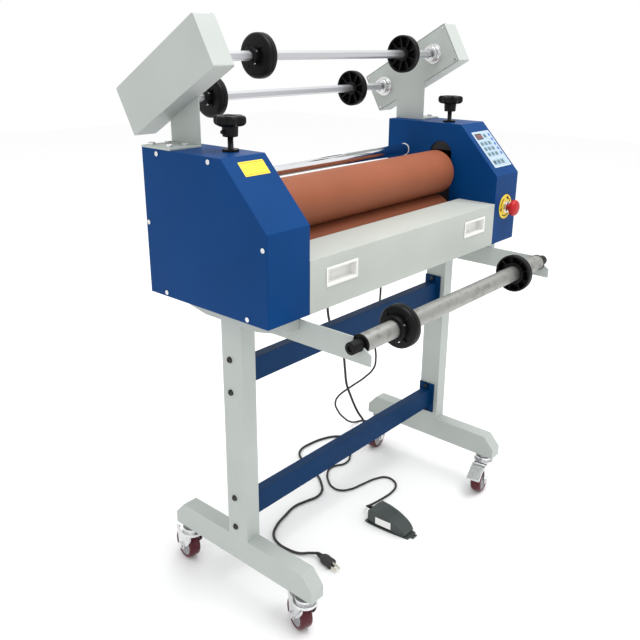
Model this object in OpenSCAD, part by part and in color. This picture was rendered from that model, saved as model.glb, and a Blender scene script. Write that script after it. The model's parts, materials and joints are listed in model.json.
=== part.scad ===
// Cold roll laminator on a castored stand: two rubber rollers between side housings,
// unwind shafts above, a take-up tube in front, a foot pedal and a mains lead.
// Millimetres, +Z up, origin on the floor under the middle of the outline.

/* [Machine] */
// Clear working width between the two housings
work_width = 720; // [500:10:1200]
// Thickness of each side housing along X
housing_thick = 115; // [105:1:140]
// Depth of the housings front to back
housing_depth = 348; // [320:2:420]
// Height of the housings
housing_height = 303; // [290:1:340]
// Width of the flat top of a housing, from the slope to the back
housing_top = 232; // [215:1:260]
// Drop of the sloping front of a housing
slope_drop = 123; // [90:1:150]
// Sheet thickness of housings, covers, table and pan
sheet = 2; // [1.5:0.1:2.5]
// Height of the machine's underside above the floor
base_height = 743; // [600:1:900]

/* [Rollers] */
// Outer diameter of both silicone rollers
roller_d = 114.6; // [100:0.1:118]
// Thickness of the silicone sleeve
sleeve_wall = 7; // [4:0.5:10]
// Gap between the end of a sleeve and the housing
sleeve_gap = 19; // [5:1:30]
// Gap left between the two closed rollers
nip_gap = 0.4; // [0.3:0.1:2]
// Diameter of the roller journals
journal_d = 30; // [20:1:34]
// Travel of the top roller
nip_travel = 25; // [5:1:30]
// Diameter of the polished guide bar behind the rollers
guide_d = 31; // [16:1:34]
// Height of the feed table above the machine's underside
table_height = 109; // [80:1:115]
// Gap between the feed table and the rollers
table_gap = 9; // [6:0.5:20]

/* [Stand] */
// Width of the leg tube along X
leg_x = 39; // [30:1:50]
// Depth of the leg tube along Y
leg_y = 61; // [40:1:80]
// Length of the foot beams
foot_length = 450; // [380:5:560]
// Height of the foot beams
foot_height = 62; // [40:1:70]
// Length of the top rails
rail_length = 314; // [240:2:340]
// Height of the top rails
rail_height = 47; // [40:1:60]
// Tube wall of the stand
tube_wall = 2.5; // [1.5:0.1:3]
// Height of the upper crossbeam's middle above the floor
beam_high = 573; // [450:1:600]
// Height of the lower crossbeam's middle above the floor
beam_low = 235; // [220:1:300]
// Depth of a crossbeam along Y
beam_depth = 26; // [20:1:40]
// Height of a crossbeam
beam_tall = 55; // [40:1:70]
// Reach of the front arms from the middle of the legs
arm_reach = 334; // [300:1:420]

/* [Casters] */
// Height of a caster from the floor to the foot beam
caster_height = 108; // [106:1:125]
// Wheel diameter
wheel_d = 75; // [60:1:76]
// Wheel width
wheel_w = 30; // [20:1:32]
// Offset of the wheel from its swivel axis
caster_trail = 27; // [22:1:32]
// Distance from the middle of the legs to each swivel axis
caster_reach = 190; // [160:1:200]

/* [Unwind heads] */
// Length of an unwind head
head_length = 292; // [260:1:340]
// Height of an unwind head
head_height = 107; // [90:1:120]
// Tilt of the head
head_tilt = 29.6; // [0:0.1:35]
// Height of the middle of the head above the machine's underside
head_rise = 435; // [425:1:520]
// Width of the head's cover box along X
head_box = 48; // [35:1:60]
// Hexagonal shaft, across the flats
hex_flats = 17; // [12:0.5:20]
// Outer diameter of the unwind chucks
chuck_d = 91; // [80:1:110]

/* [Take-up] */
// Diameter of the take-up tube
tube_d = 38; // [30:1:45]
// Outer diameter of the take-up chucks
takeup_chuck_d = 90; // [72:0.5:110]

/* [Controls] */
// Diameter of a pressure knob's star head
knob_d = 65; // [50:1:75]
// Width of the control panel
panel_w = 88; // [60:1:95]
// Length of the control panel down the slope
panel_l = 115; // [80:1:120]
// Diameter of the mains lead
mains_d = 7; // [5:0.5:8]
// Diameter of the pedal lead
pedal_lead_d = 6; // [4:0.5:7]

/* [Hidden] */
$fn = 64;

// clearances
run = 0.05;
slide_gap = 0.4;
part_gap = 0.3;
hole_gap = 0.3;

// colours
machine_blue = [0.06, 0.22, 0.55];
pale_grey = [0.72, 0.75, 0.72];
silicone = [0.70, 0.33, 0.20];
black = [0.05, 0.05, 0.05];
bright = [0.80, 0.80, 0.82];
steel = [0.55, 0.56, 0.58];
maroon = [0.35, 0.05, 0.10];
white = [0.92, 0.92, 0.90];

// outline of the heads and of the take-up, which sets the middle of the whole part
head_y = 134;
head_back = head_y + head_length / 2 * cos(head_tilt) + head_height / 2 * sin(head_tilt);
tube_inset = 30;
front_reach = max(arm_reach, arm_reach - tube_inset + takeup_chuck_d / 2);
stand_y = (front_reach - head_back) / 2;

// housings
inner_x = work_width / 2;
outer_x = inner_x + housing_thick;
top_z = base_height + housing_height;
half_d = housing_depth / 2;
slope_run = housing_depth - housing_top;
slope_y = half_d - slope_run;
slope_len = sqrt(pow(slope_run, 2) + pow(slope_drop, 2));
slope_angle = atan(slope_drop / slope_run);
lip = 14;
frame_thick = 12;
frame_x = inner_x + sheet + 2;
screw_inset = 9;

// rollers
low_axis = base_height + 61;
roller_pitch = roller_d + nip_gap;
top_axis = low_axis + roller_pitch;
sleeve_half = inner_x - sleeve_gap;
journal_r = journal_d / 2;
core_r = roller_d / 2 - sleeve_wall;
core_wall = 8;
block_side = 60;
block_end = frame_x + 44;
bearing_r = 26;
slot_r = 34;
slot_top = top_axis + 80;
guide_y = 118;
guide_z = base_height + 223;
guide_flange = 1.5;
guide_bush_r = 10;
guide_journal_r = 6;

// pressure knobs
knob_x = inner_x + 35;
stem_r = 6.25;
collar_h = 5;
hub_z = top_z + 28;
hub_h = 20;
star_h = 20;

// drive
gear_module = 2;
gear_teeth = 50;
pinion_teeth = 15;
gear_x = frame_x + frame_thick + 6;
gear_w = 12;
pinion_y = gear_module * (gear_teeth + pinion_teeth) / 2 + 0.3;
motor_x = gear_x + gear_w + 4;

// stand
leg_in = inner_x + 12;
leg_out = leg_in + leg_x;
foot_z = caster_height;
leg_z = foot_z + foot_height;
rail_z = base_height - rail_height;
foot_chamfer_y = 30;
foot_chamfer_z = 33;
plate_thick = 4;
beam_y = 6.5;
bolt_pitch = 38;
bolt_r = 5;
arm_thick = 3.5;
arm_tall = 50;
arm_z = base_height - 60;
arm_back = 40;

// casters
wheel_r = wheel_d / 2;
swivel_x = leg_in + leg_x / 2;
fork_gap = wheel_w / 2 + 2;
fork_plate = 3;
fork_top = caster_height - 24;
stem_d = 12;
crown_r = 28;
axle_r = 5;
brake_x = caster_trail + 13;
brake_z = fork_top;
// which way each wheel trails, as an angle from +X
TRAIL_FL = 70;
TRAIL_FR = 190;
TRAIL_RL = 80;
TRAIL_RR = 187;

// unwind heads
head_x = inner_x + 35;
head_sheet = 4;
head_inset = sheet + 0.8;
head_tab = 3;
head_z = base_height + head_rise;
post_front = 86;
post_back = 175;
front_offset = -84;
rear_offset = 98;
shaft_round_r = 8;
hex_r = hex_flats / 2 / cos(30);
hub_flange_r = 26;
hub_nut_r = 20;
hub_long = 20;
hex_half = head_x - hub_long - 1;
chuck_front_x = 257;
chuck_rear_x = 250;

// take-up
tube_y = -arm_reach + tube_inset;
tube_z = base_height - 24;
tube_r = tube_d / 2;
tube_bore = tube_r - 3;
tube_half = leg_in - 10;
boss_r = 12.5;
takeup_chuck_x = 241;
groove_w = 8;
groove_deep = 2.2;
// angles of the two keyways round the tube, from +Z towards the back
GROOVES = [35, 215];

// e-stop
estop_x = inner_x + 57.5;
estop_z = base_height + 94;

// pedal, lying on the floor
pedal_x = 47.5;
pedal_back = -16;
pedal_w = 61;
pedal_l = 128;
pedal_pin_y = pedal_back - 109;
pedal_pin_z = 9;
pedal_cord_z = 26;

// cord routes, chosen points from the gland to the far end
MAINS_ROUTE = [
    [75, 182, 698], [75, 183, 640], [76, 184, 575], [84, 182, 520], [106, 173, 460], [126, 165, 410],
    [130, 162, 370], [138, 162, 322], [160, 164, 275], [200, 170, 208], [250, 182, 146], [290, 216, 87],
    [318, 253, 38], [335, 288, 8], [338, 314, 4], [320, 344, 4], [284, 366, 4], [230, 378, 4], [178, 376, 4],
    [148, 354, 4], [132, 318, 4], [112, 268, 4], [96, 230, 4], [73, 198, 4], [48, 174, 4], [16, 164, 4],
    [-20, 172, 4], [-60, 180, 4], [-110, 171, 4], [-160, 156, 4], [-194, 134, 4], [-210, 103, 4],
    [-212, 66, 4], [-205, 32, 5], [-190, 10, 8], [-180, -8, 11]
];
PEDAL_ROUTE = [
    [300, 172, 698], [300, 172, 640], [301, 171, 575], [302, 174, 520], [300, 180, 450], [300, 184, 385],
    [306, 184, 340], [311, 194, 302], [303, 222, 264], [278, 258, 228], [260, 288, 196], [268, 310, 160],
    [296, 322, 116], [350, 338, 62], [402, 352, 22], [438, 358, 5], [464, 348, 3], [471, 324, 3], [452, 306, 3],
    [402, 298, 3], [340, 284, 3], [290, 260, 3], [256, 236, 3], [226, 220, 3], [200, 220, 3], [178, 232, 3],
    [152, 234, 3], [126, 220, 3], [102, 196, 3], [84, 166, 3], [84, 138, 3], [106, 118, 3], [153, 106, 3],
    [204, 94, 3], [230, 76, 3], [230, 48, 3], [210, 25, 3], [176, 16, 3], [136, 17, 3], [104, 21, 3],
    [81, 22, 6], [63, 18, 14], [53, 11, 22], [50, 4, 26]
];
CORD_SIDES = 8;

// ---------- helpers ----------
// moves machine pieces so that the whole outline is centred on Y
module on_stand() translate([0, stand_y, 0]) children();

module both_sides() {
    children();
    mirror([1, 0, 0]) children();
}

// extrudes an outline drawn in Y and Z along X, from x, t thick
module along_x(x, t) translate([x, 0, 0]) rotate([90, 0, 90]) linear_extrude(t) children();

// rod along X from x, l long
module rod_x(x, y, z, r, l) translate([x, y, z]) rotate([0, 90, 0]) cylinder(r = r, h = l);

// rod along Y from y, l long
module rod_y(x, y, z, r, l) translate([x, y, z]) rotate([-90, 0, 0]) cylinder(r = r, h = l);

// block from its lowest corner to its highest
module block(low, high) translate(low) cube(high - low);

// rectangle with round corners, centred
module round_rect(l, h, r) {
    square([l - 2 * r, h], center = true);
    square([l, h - 2 * r], center = true);
    for (sx = [-1, 1], sy = [-1, 1]) translate([sx * (l / 2 - r), sy * (h / 2 - r)]) circle(r);
}

// side outline of a housing, drawn inwards by t
function housing_outline(t) = [
    [-half_d + t, base_height + t],
    [half_d - t, base_height + t],
    [half_d - t, top_z - t],
    [-slope_y + t * (slope_len - slope_run) / slope_drop, top_z - t],
    [-half_d + t, top_z - slope_drop - t * (slope_len - slope_drop) / slope_run]
];

// places children on the sloping front of a housing, +Y up the slope
module on_slope() translate([0, -slope_y, top_z]) rotate([slope_angle, 0, 0]) children();

// cover screw places in Y and Z
COVER_SCREWS = [
    [half_d - 48, top_z - screw_inset], [-slope_y + 32, top_z - screw_inset],
    [half_d - screw_inset, base_height + housing_height / 2],
    [-half_d + screw_inset, base_height + housing_height / 2],
    [half_d - 54, base_height + screw_inset], [-half_d + 54, base_height + screw_inset]
];

// ---------- stand ----------
module foot_beams() on_stand() color(pale_grey) both_sides() difference() {
    along_x(leg_in, leg_x) polygon([
        [-foot_length / 2, foot_z], [foot_length / 2, foot_z],
        [foot_length / 2, leg_z - foot_chamfer_z], [foot_length / 2 - foot_chamfer_y, leg_z],
        [-foot_length / 2 + foot_chamfer_y, leg_z], [-foot_length / 2, leg_z - foot_chamfer_z]
    ]);
    block([leg_in + tube_wall, -caster_reach + 34, foot_z - 1],
        [leg_out - tube_wall, caster_reach - 34, leg_z - tube_wall]);
    for (s = [-1, 1]) translate([swivel_x, s * caster_reach, foot_z - 1]) cylinder(r = stem_d / 2, h = 21);
}

module leg_frames() on_stand() color(pale_grey) both_sides() difference() {
    union() {
        block([leg_in, -leg_y / 2, leg_z], [leg_out, leg_y / 2, rail_z + 1]);
        along_x(leg_in, leg_x) polygon([
            [-rail_length / 2, base_height], [-rail_length / 2, rail_z + 16],
            [-rail_length / 4, rail_z], [rail_length / 4, rail_z],
            [rail_length / 2, rail_z + 16], [rail_length / 2, base_height]
        ]);
    }
    block([leg_in + tube_wall, -leg_y / 2 + tube_wall, leg_z - 1],
        [leg_out - tube_wall, leg_y / 2 - tube_wall, base_height + 1]);
    block([leg_in + tube_wall, -rail_length / 2 + tube_wall, rail_z + 20],
        [leg_out - tube_wall, rail_length / 2 - tube_wall, base_height + 1]);
    for (z = [beam_low, beam_high], s = [-1, 1])
        rod_x(leg_in - 1, beam_y, z + s * bolt_pitch, bolt_r + hole_gap, leg_x + 2);
    for (s = [0, 1]) rod_x(leg_in - 1, -60 - 70 * s, base_height - 16, 3.2, 10);
}

module crossbeams() on_stand() color(machine_blue) for (z = [beam_low, beam_high]) {
    difference() {
        block([-leg_in + plate_thick, beam_y - beam_depth / 2, z - beam_tall / 2],
            [leg_in - plate_thick, beam_y + beam_depth / 2, z + beam_tall / 2]);
        block([-leg_in, beam_y - beam_depth / 2 + sheet, z - beam_tall / 2 + sheet],
            [leg_in, beam_y + beam_depth / 2 - sheet, z + beam_tall / 2 - sheet]);
    }
    both_sides() difference() {
        block([leg_in - plate_thick, beam_y - 25, z - bolt_pitch - 8],
            [leg_in, beam_y + 25, z + bolt_pitch + 8]);
        for (s = [-1, 1]) rod_x(leg_in - 9, beam_y, z + s * bolt_pitch, bolt_r + hole_gap, 12);
    }
}

module stand_bolts() on_stand() color(black) both_sides()
    for (z = [beam_low, beam_high], s = [-1, 1]) {
        rod_x(leg_in - 14, beam_y, z + s * bolt_pitch, bolt_r, leg_x + 16);
        rod_x(leg_out, beam_y, z + s * bolt_pitch, 7, 5);
        rod_x(leg_in - plate_thick - 8, beam_y, z + s * bolt_pitch, 8, 8);
    }

module front_arms() on_stand() color(pale_grey) both_sides() difference() {
    along_x(leg_in - arm_thick, arm_thick) polygon([
        [-arm_back, arm_z - arm_tall + 50], [-arm_back, arm_z - 0.5],
        [-arm_back, arm_z + arm_tall], [-arm_reach + 44, arm_z + arm_tall],
        [-arm_reach, arm_z + arm_tall / 2 - 2], [-arm_reach, arm_z], [-arm_back - 1, arm_z]
    ]);
    rod_x(leg_in - 9, tube_y, tube_z, boss_r + part_gap, 12);
    block([leg_in - 9, tube_y - boss_r - part_gap, tube_z],
        [leg_in + 3, tube_y + boss_r + part_gap, tube_z + 60]);
    for (s = [0, 1]) rod_x(leg_in - 9, -60 - 70 * s, base_height - 16, 3.2, 12);
}

// ---------- casters ----------
module at_caster(sx, sy) translate([sx * swivel_x, sy * caster_reach, 0]) children();

// quadratic curve from a to c, pulled towards b
function bend(a, b, c) = [for (t = [0:0.125:1]) (1 - t) * (1 - t) * a + 2 * t * (1 - t) * b + t * t * c];

module caster_stems() on_stand() color(bright) for (sx = [-1, 1], sy = [-1, 1]) at_caster(sx, sy) {
    translate([0, 0, caster_height - 11]) cylinder(r = 24, h = 5);
    translate([0, 0, caster_height - 6]) cylinder(r = 14, h = 6);
    translate([0, 0, fork_top - 4]) cylinder(r = stem_d / 2, h = 44);
    translate([0, 0, fork_top - 4.3]) cylinder(r = 9, h = 4);
}

// swivelling fork with its axle, trailing towards +X
module caster_fork(sx, sy, angle) on_stand() color(bright) at_caster(sx, sy) rotate([0, 0, angle]) {
    difference() {
        union() {
            translate([0, 0, fork_top]) cylinder(r = crown_r, h = 7);
            translate([0, 0, fork_top]) cylinder(r = crown_r - 6, h = 12.6);
            block([-12, -fork_gap - fork_plate, fork_top], [caster_trail, fork_gap + fork_plate, fork_top + 4]);
            for (s = [-1, 1]) translate([0, s * (fork_gap + fork_plate / 2), 0]) rotate([90, 0, 0])
                linear_extrude(fork_plate, center = true) {
                    polygon(concat([[-20, fork_top + 4]],
                        bend([-20, fork_top - 6], [-12, wheel_r + 14], [caster_trail - 12, wheel_r]),
                        bend([caster_trail + 12, wheel_r], [caster_trail + 15, wheel_r + 22], [brake_x + 7, brake_z]),
                        [[caster_trail, fork_top + 4]]));
                    translate([caster_trail, wheel_r]) circle(12);
                    translate([brake_x, brake_z]) circle(7);
                }
        }
        translate([0, 0, fork_top - 1]) cylinder(r = stem_d / 2 + run, h = 20);
    }
    rod_y(caster_trail, -fork_gap - fork_plate - 5, wheel_r, axle_r, 2 * (fork_gap + fork_plate + 5));
    for (s = [-1, 1]) translate([caster_trail, s * (fork_gap + fork_plate + 2.5), wheel_r])
        rotate([90, 0, 0]) cylinder(r = 8.5, h = 5, center = true);
}

// wheel with a crowned tyre and dished hub
module caster_wheel(sx, sy, angle) on_stand() color(maroon) at_caster(sx, sy) rotate([0, 0, angle])
    translate([caster_trail, 0, wheel_r]) rotate([90, 0, 0]) rotate_extrude() polygon([
        [axle_r + run, -wheel_w / 2], [12, -wheel_w / 2], [14, -wheel_w / 2 + 5], [24, -wheel_w / 2 + 5],
        [26, -wheel_w / 2], [wheel_r - 4, -wheel_w / 2], [wheel_r - 1, -wheel_w / 2 + 3], [wheel_r, -wheel_w / 4],
        [wheel_r, wheel_w / 4], [wheel_r - 1, wheel_w / 2 - 3], [wheel_r - 4, wheel_w / 2], [26, wheel_w / 2],
        [24, wheel_w / 2 - 5], [14, wheel_w / 2 - 5], [12, wheel_w / 2], [axle_r + run, wheel_w / 2]
    ]);

// foot-operated brake lever on its cross pin
module brake_lever(sx, sy, angle, raised) on_stand() color(bright) at_caster(sx, sy) rotate([0, 0, angle])
    translate([brake_x, 0, brake_z]) rotate([0, -raised, 0]) {
        rod_y(0, -fork_gap + part_gap, 0, 5, 2 * (fork_gap - part_gap));
        rotate([90, 0, 0]) linear_extrude(2 * (fork_gap - part_gap), center = true)
            polygon([[0, 5], [-2, 0], [5, -11], [12, -10], [14, 1], [14, 4]]);
        rotate([90, 0, 0]) linear_extrude(2 * fork_gap + 4, center = true)
            polygon([[11, 5], [11, 1], [46, -22], [49, -22], [48, -18]]);
    }

module caster_fork_fl() caster_fork(-1, -1, TRAIL_FL);
module caster_fork_fr() caster_fork(1, -1, TRAIL_FR);
module caster_fork_rl() caster_fork(-1, 1, TRAIL_RL);
module caster_fork_rr() caster_fork(1, 1, TRAIL_RR);
module caster_wheel_fl() caster_wheel(-1, -1, TRAIL_FL);
module caster_wheel_fr() caster_wheel(1, -1, TRAIL_FR);
module caster_wheel_rl() caster_wheel(-1, 1, TRAIL_RL);
module caster_wheel_rr() caster_wheel(1, 1, TRAIL_RR);
module brake_lever_fl() brake_lever(-1, -1, TRAIL_FL, 18);
module brake_lever_fr() brake_lever(1, -1, TRAIL_FR, 0);

// ---------- machine frame ----------
module side_frames() on_stand() color(steel) both_sides() {
    difference() {
        along_x(frame_x, frame_thick) polygon([
            [-100, base_height + sheet], [150, base_height + sheet], [150, top_z - 40], [-60, top_z - 40],
            [-100, top_z - 70]
        ]);
        rod_x(frame_x - 1, 0, low_axis, bearing_r, frame_thick + 2);
        block([frame_x - 1, -block_side / 2 - slide_gap, top_axis - block_side / 2 - slide_gap],
            [frame_x + frame_thick + 1, block_side / 2 + slide_gap,
                top_axis + block_side / 2 + nip_travel + 2 * slide_gap]);
        for (p = STANDOFFS) rod_x(frame_x - 1, p[0], p[1], 3.2, frame_thick + 2);
    }
    for (y = [-98, 112]) block([frame_x + frame_thick, y, base_height + sheet],
        [frame_x + frame_thick + 22, y + 36, base_height + sheet + 5]);
}

// one housing: a shell open on its outer side, with lips that hold the cover
module housing() difference() {
    along_x(inner_x, housing_thick - sheet) polygon(housing_outline(0));
    along_x(inner_x + sheet, housing_thick - 3 * sheet) polygon(housing_outline(sheet));
    along_x(outer_x - 2 * sheet - 1, 2 * sheet) polygon(housing_outline(lip + sheet));
    rod_x(inner_x - 1, 0, low_axis, slot_r, sheet + 2);
    rod_x(inner_x - 1, 0, slot_top - slot_r, slot_r, sheet + 2);
    block([inner_x - 1, -slot_r, low_axis], [inner_x + sheet + 1, slot_r, slot_top - slot_r]);
    rod_x(inner_x - 1, guide_y, guide_z, guide_bush_r + hole_gap, sheet + 2);
    translate([knob_x, 0, top_z - sheet - 1]) cylinder(r = stem_r + 1.5, h = sheet + 2);
    for (p = COVER_SCREWS) rod_x(outer_x - 3 * sheet, p[0], p[1], 2 + hole_gap, 3 * sheet);
    for (x = FLANGE_X, y = FLANGE_Y) translate([x, y, top_z - sheet - 1]) cylinder(r = 4 + hole_gap, h = sheet + 2);
}

module housing_left() on_stand() color(machine_blue) mirror([1, 0, 0]) housing();

module housing_right() on_stand() color(machine_blue) difference() {
    housing();
    rod_y(estop_x, -half_d - 1, estop_z, 11 + hole_gap, sheet + 2);
}

module side_covers() on_stand() color(machine_blue) both_sides() difference() {
    along_x(outer_x - sheet, sheet) polygon(housing_outline(0));
    for (p = COVER_SCREWS) rod_x(outer_x - sheet - 1, p[0], p[1], 2 + hole_gap, sheet + 2);
}

module base_pan() on_stand() color(pale_grey)
    block([-inner_x + part_gap, -half_d + sheet + part_gap, base_height],
        [inner_x - part_gap, half_d - sheet, base_height + sheet]);

// ---------- feed table ----------
handle_x = 262;
handle_z = base_height + 65;
handle_w = 100;
handle_h = 41;
handle_deep = 18;
table_back = -(roller_d / 2 + table_gap);

module feed_table() on_stand() color(pale_grey) difference() {
    block([-inner_x + 0.5, -half_d, base_height + part_gap],
        [inner_x - 0.5, table_back, base_height + table_height]);
    block([-inner_x + 0.5 + sheet, -half_d + sheet, base_height - 1],
        [inner_x - 0.5 - sheet, table_back - sheet, base_height + table_height - sheet]);
    block([-inner_x + 40, table_back - 3, base_height - 1],
        [inner_x - 40, table_back + 1, base_height + table_height - 34]);
    block([-inner_x + 0.4, -half_d + sheet + part_gap - 1, base_height - 1],
        [inner_x - 0.4, table_back + 1, base_height + sheet + part_gap]);
    both_sides() block([handle_x - handle_w / 2 + 4, -half_d - 1, handle_z - handle_h / 2 + 4],
        [handle_x + handle_w / 2 - 4, -half_d + sheet + 1, handle_z + handle_h / 2 - 4]);
}

// recessed pulls, open to the front
module table_handles() on_stand() color(white) both_sides() translate([handle_x, -half_d, handle_z]) difference() {
    union() {
        block([-handle_w / 2, -1.5, -handle_h / 2], [handle_w / 2, 0, handle_h / 2]);
        block([-handle_w / 2 + 4, -1, -handle_h / 2 + 4], [handle_w / 2 - 4, handle_deep + 2, handle_h / 2 - 4]);
    }
    block([-handle_w / 2 + 6, -2, -handle_h / 2 + 6], [handle_w / 2 - 6, handle_deep, handle_h / 2 - 6]);
}

// ---------- rollers and drive ----------
module roller_core(z, reach) difference() {
    union() {
        rod_x(-sleeve_half + 1, 0, z, core_r, 2 * sleeve_half - 2);
        rod_x(-reach, 0, z, journal_r, 2 * reach);
    }
    rod_x(-sleeve_half + 13, 0, z, core_r - core_wall, 2 * sleeve_half - 26);
    rod_x(-reach - 1, 0, z, 5, 2 * reach + 2);
}

module roller_sleeve(z) difference() {
    rod_x(-sleeve_half, 0, z, roller_d / 2, 2 * sleeve_half);
    rod_x(-sleeve_half - 1, 0, z, core_r, 2 * sleeve_half + 2);
}

module bottom_roller_core() on_stand() color(steel) roller_core(low_axis, gear_x + gear_w);
module bottom_roller_sleeve() on_stand() color(silicone) roller_sleeve(low_axis);
module top_roller_core() on_stand() color(steel) roller_core(top_axis, block_end - 4);
module top_roller_sleeve() on_stand() color(silicone) roller_sleeve(top_axis);

module bottom_bearings() on_stand() color(bright) both_sides() difference() {
    union() {
        rod_x(frame_x, 0, low_axis, bearing_r, frame_thick);
        rod_x(frame_x + frame_thick, 0, low_axis, bearing_r + 4, 3);
    }
    rod_x(frame_x - 1, 0, low_axis, journal_r + run, frame_thick + 6);
}

// sliding blocks that carry the top roller, with cheeks on the outer side of the frames
module bearing_blocks() on_stand() color(steel) both_sides() difference() {
    union() {
        block([frame_x, -block_side / 2, top_axis - block_side / 2],
            [block_end, block_side / 2, top_axis + block_side / 2]);
        block([frame_x + frame_thick + slide_gap, -block_side / 2 - 6, top_axis - block_side / 2],
            [frame_x + frame_thick + 6, block_side / 2 + 6, top_axis + block_side / 2]);
    }
    rod_x(frame_x - 1, 0, top_axis, journal_r + run, block_end - frame_x + 2);
}

// pressure screw with its hub and lobed head; its tip sits just above a bearing block
module knob() color(black) translate([knob_x, 0, 0]) {
    translate([0, 0, top_axis + block_side / 2 + part_gap])
        cylinder(r = stem_r, h = hub_z - top_axis - block_side / 2);
    translate([0, 0, hub_z]) cylinder(r1 = 15, r2 = 16, h = hub_h);
    translate([0, 0, hub_z + hub_h]) linear_extrude(star_h) {
        circle(knob_d / 2 - 9);
        for (a = [0:60:300]) rotate(a) translate([knob_d / 2 - 10, 0]) circle(10);
    }
}

module knob_left() on_stand() mirror([1, 0, 0]) knob();
module knob_right() on_stand() knob();

module knob_collars() on_stand() color(black) both_sides() translate([knob_x, 0, 0]) difference() {
    union() {
        translate([0, 0, top_z]) cylinder(r = 16.5, h = collar_h);
        translate([0, 0, top_z - 12]) cylinder(r = stem_r + 1.2, h = 12);
        translate([0, 0, top_z - 12]) cylinder(r = 13, h = 12 - sheet);
    }
    translate([0, 0, top_z - 13]) cylinder(r = stem_r + run, h = collar_h + 14);
}

// spur gear with straight-sided teeth, one tooth centred on angle 0
module spur(teeth, bore_r) difference() {
    linear_extrude(gear_w) polygon([for (i = [0:teeth - 1], p = [[-0.34, -1.15], [-0.12, 0.8], [0.12, 0.8], [0.34, -1.15]])
        let (a = 360 * (i + p[0]) / teeth, r = gear_module * (teeth / 2 + p[1])) [r * cos(a), r * sin(a)]]);
    translate([0, 0, -1]) cylinder(r = bore_r, h = gear_w + 2);
}

// rotate() turns the gear's flat face to +X and its first tooth to +Y
module gear_place(y, z) translate([gear_x, y, z]) rotate([90, 0, 90]) children();

module drive_gear() on_stand() color(steel) gear_place(0, low_axis) spur(gear_teeth, journal_r);

module motor_pinion() on_stand() color(steel) {
    gear_place(pinion_y, low_axis) rotate(180 + 180 / pinion_teeth) spur(pinion_teeth, 5 + run);
}

STANDOFFS = [[pinion_y + 36, low_axis + 30], [pinion_y + 36, low_axis - 30], [pinion_y, low_axis + 38]];

module gearmotor() on_stand() color(steel) {
    rod_x(gear_x - 2, pinion_y, low_axis, 5, motor_x - gear_x + 3);
    difference() {
        along_x(motor_x, 4) translate([pinion_y + 10, low_axis]) round_rect(92, 92, 8);
        for (p = STANDOFFS) rod_x(motor_x - 1, p[0], p[1], 3, 6);
    }
    rod_x(motor_x + 4, pinion_y + 10, low_axis, 38, 24);
    rod_x(motor_x + 28, pinion_y + 10, low_axis, 32, outer_x - 4 * sheet - motor_x - 28);
    for (p = STANDOFFS) {
        rod_x(frame_x + frame_thick, p[0], p[1], 6, motor_x - frame_x - frame_thick);
        rod_x(frame_x, p[0], p[1], 3, motor_x + 4 - frame_x);
    }
}

module guide_bar() on_stand() color(bright) {
    bar_half = inner_x - guide_flange - part_gap;
    rod_x(-bar_half, guide_y, guide_z, guide_d / 2, 2 * bar_half);
    rod_x(-inner_x - sheet, guide_y, guide_z, guide_journal_r, 2 * (inner_x + sheet));
}

// flanged bushes pressed into the housings' inner walls
module guide_bushes() on_stand() color(white) both_sides() difference() {
    union() {
        rod_x(inner_x - guide_flange, guide_y, guide_z, guide_d / 2 + 1, guide_flange);
        rod_x(inner_x - guide_flange, guide_y, guide_z, guide_bush_r, guide_flange + sheet + 1.5);
    }
    rod_x(inner_x - guide_flange - 1, guide_y, guide_z, guide_journal_r + run, guide_flange + sheet + 4);
}

// ---------- unwind heads ----------
// places children at the middle of the head's outline, +X along its length to the back
module head_frame() translate([head_y, head_z]) rotate(-head_tilt) children();

// Y and Z of a shaft at a given offset along the head
function shaft_at(offset) = [head_y + offset * cos(head_tilt), head_z - offset * sin(head_tilt)];

// places children on the corner screws of one head, +Z away from the middle
module at_head_screws() for (a = [-1, 1], b = [-1, 1])
    let (u = a * (head_length / 2 - head_inset - 6), v = b * (head_height / 2 - head_inset - 6))
        translate([head_x, head_y + u * cos(head_tilt) + v * sin(head_tilt),
            head_z - u * sin(head_tilt) + v * cos(head_tilt)]) rotate([0, 90, 0]) children();

module head_plates() on_stand() color(pale_grey) both_sides() {
    difference() {
        along_x(head_x, head_sheet) {
            translate([post_front, top_z]) square([post_back - post_front, head_z - 20 - top_z]);
            head_frame() round_rect(head_length - 2 * head_inset, head_height - 2 * head_inset, 3);
        }
        for (offset = [front_offset, rear_offset])
            rod_x(head_x - 1, shaft_at(offset)[0], shaft_at(offset)[1], shaft_round_r + 1, head_sheet + 2);
        at_head_screws() translate([0, 0, -1]) cylinder(r = 1.5 + hole_gap, h = head_sheet + 2);
    }
    difference() {
        block([head_x + head_sheet, post_front, top_z], [outer_x, post_back, top_z + head_sheet]);
        for (x = FLANGE_X, y = FLANGE_Y) translate([x, y, top_z - 1]) cylinder(r = 4 + hole_gap, h = head_sheet + 2);
    }
}

// covers that wrap the plates, with corner tabs that the screws go into
module head_covers() on_stand() color(pale_grey) both_sides() {
    difference() {
        along_x(head_x, head_sheet + head_box) head_frame() round_rect(head_length, head_height, 4);
        along_x(head_x - 1, head_sheet + head_box - sheet + 1) head_frame()
            round_rect(head_length - 2 * sheet, head_height - 2 * sheet, 3);
        along_x(head_x - 1, head_sheet + 1.5) translate([post_front - part_gap, head_z - 90])
            square([post_back - post_front + 2 * part_gap, 70]);
    }
    difference() {
        along_x(head_x + head_sheet, head_tab) head_frame() for (a = [-1, 1], b = [-1, 1])
            translate([a * (head_length / 2 - sheet - 5), b * (head_height / 2 - sheet - 5)]) square(12, center = true);
        at_head_screws() cylinder(r = 1.5, h = head_sheet + head_tab + 1);
    }
}

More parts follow.
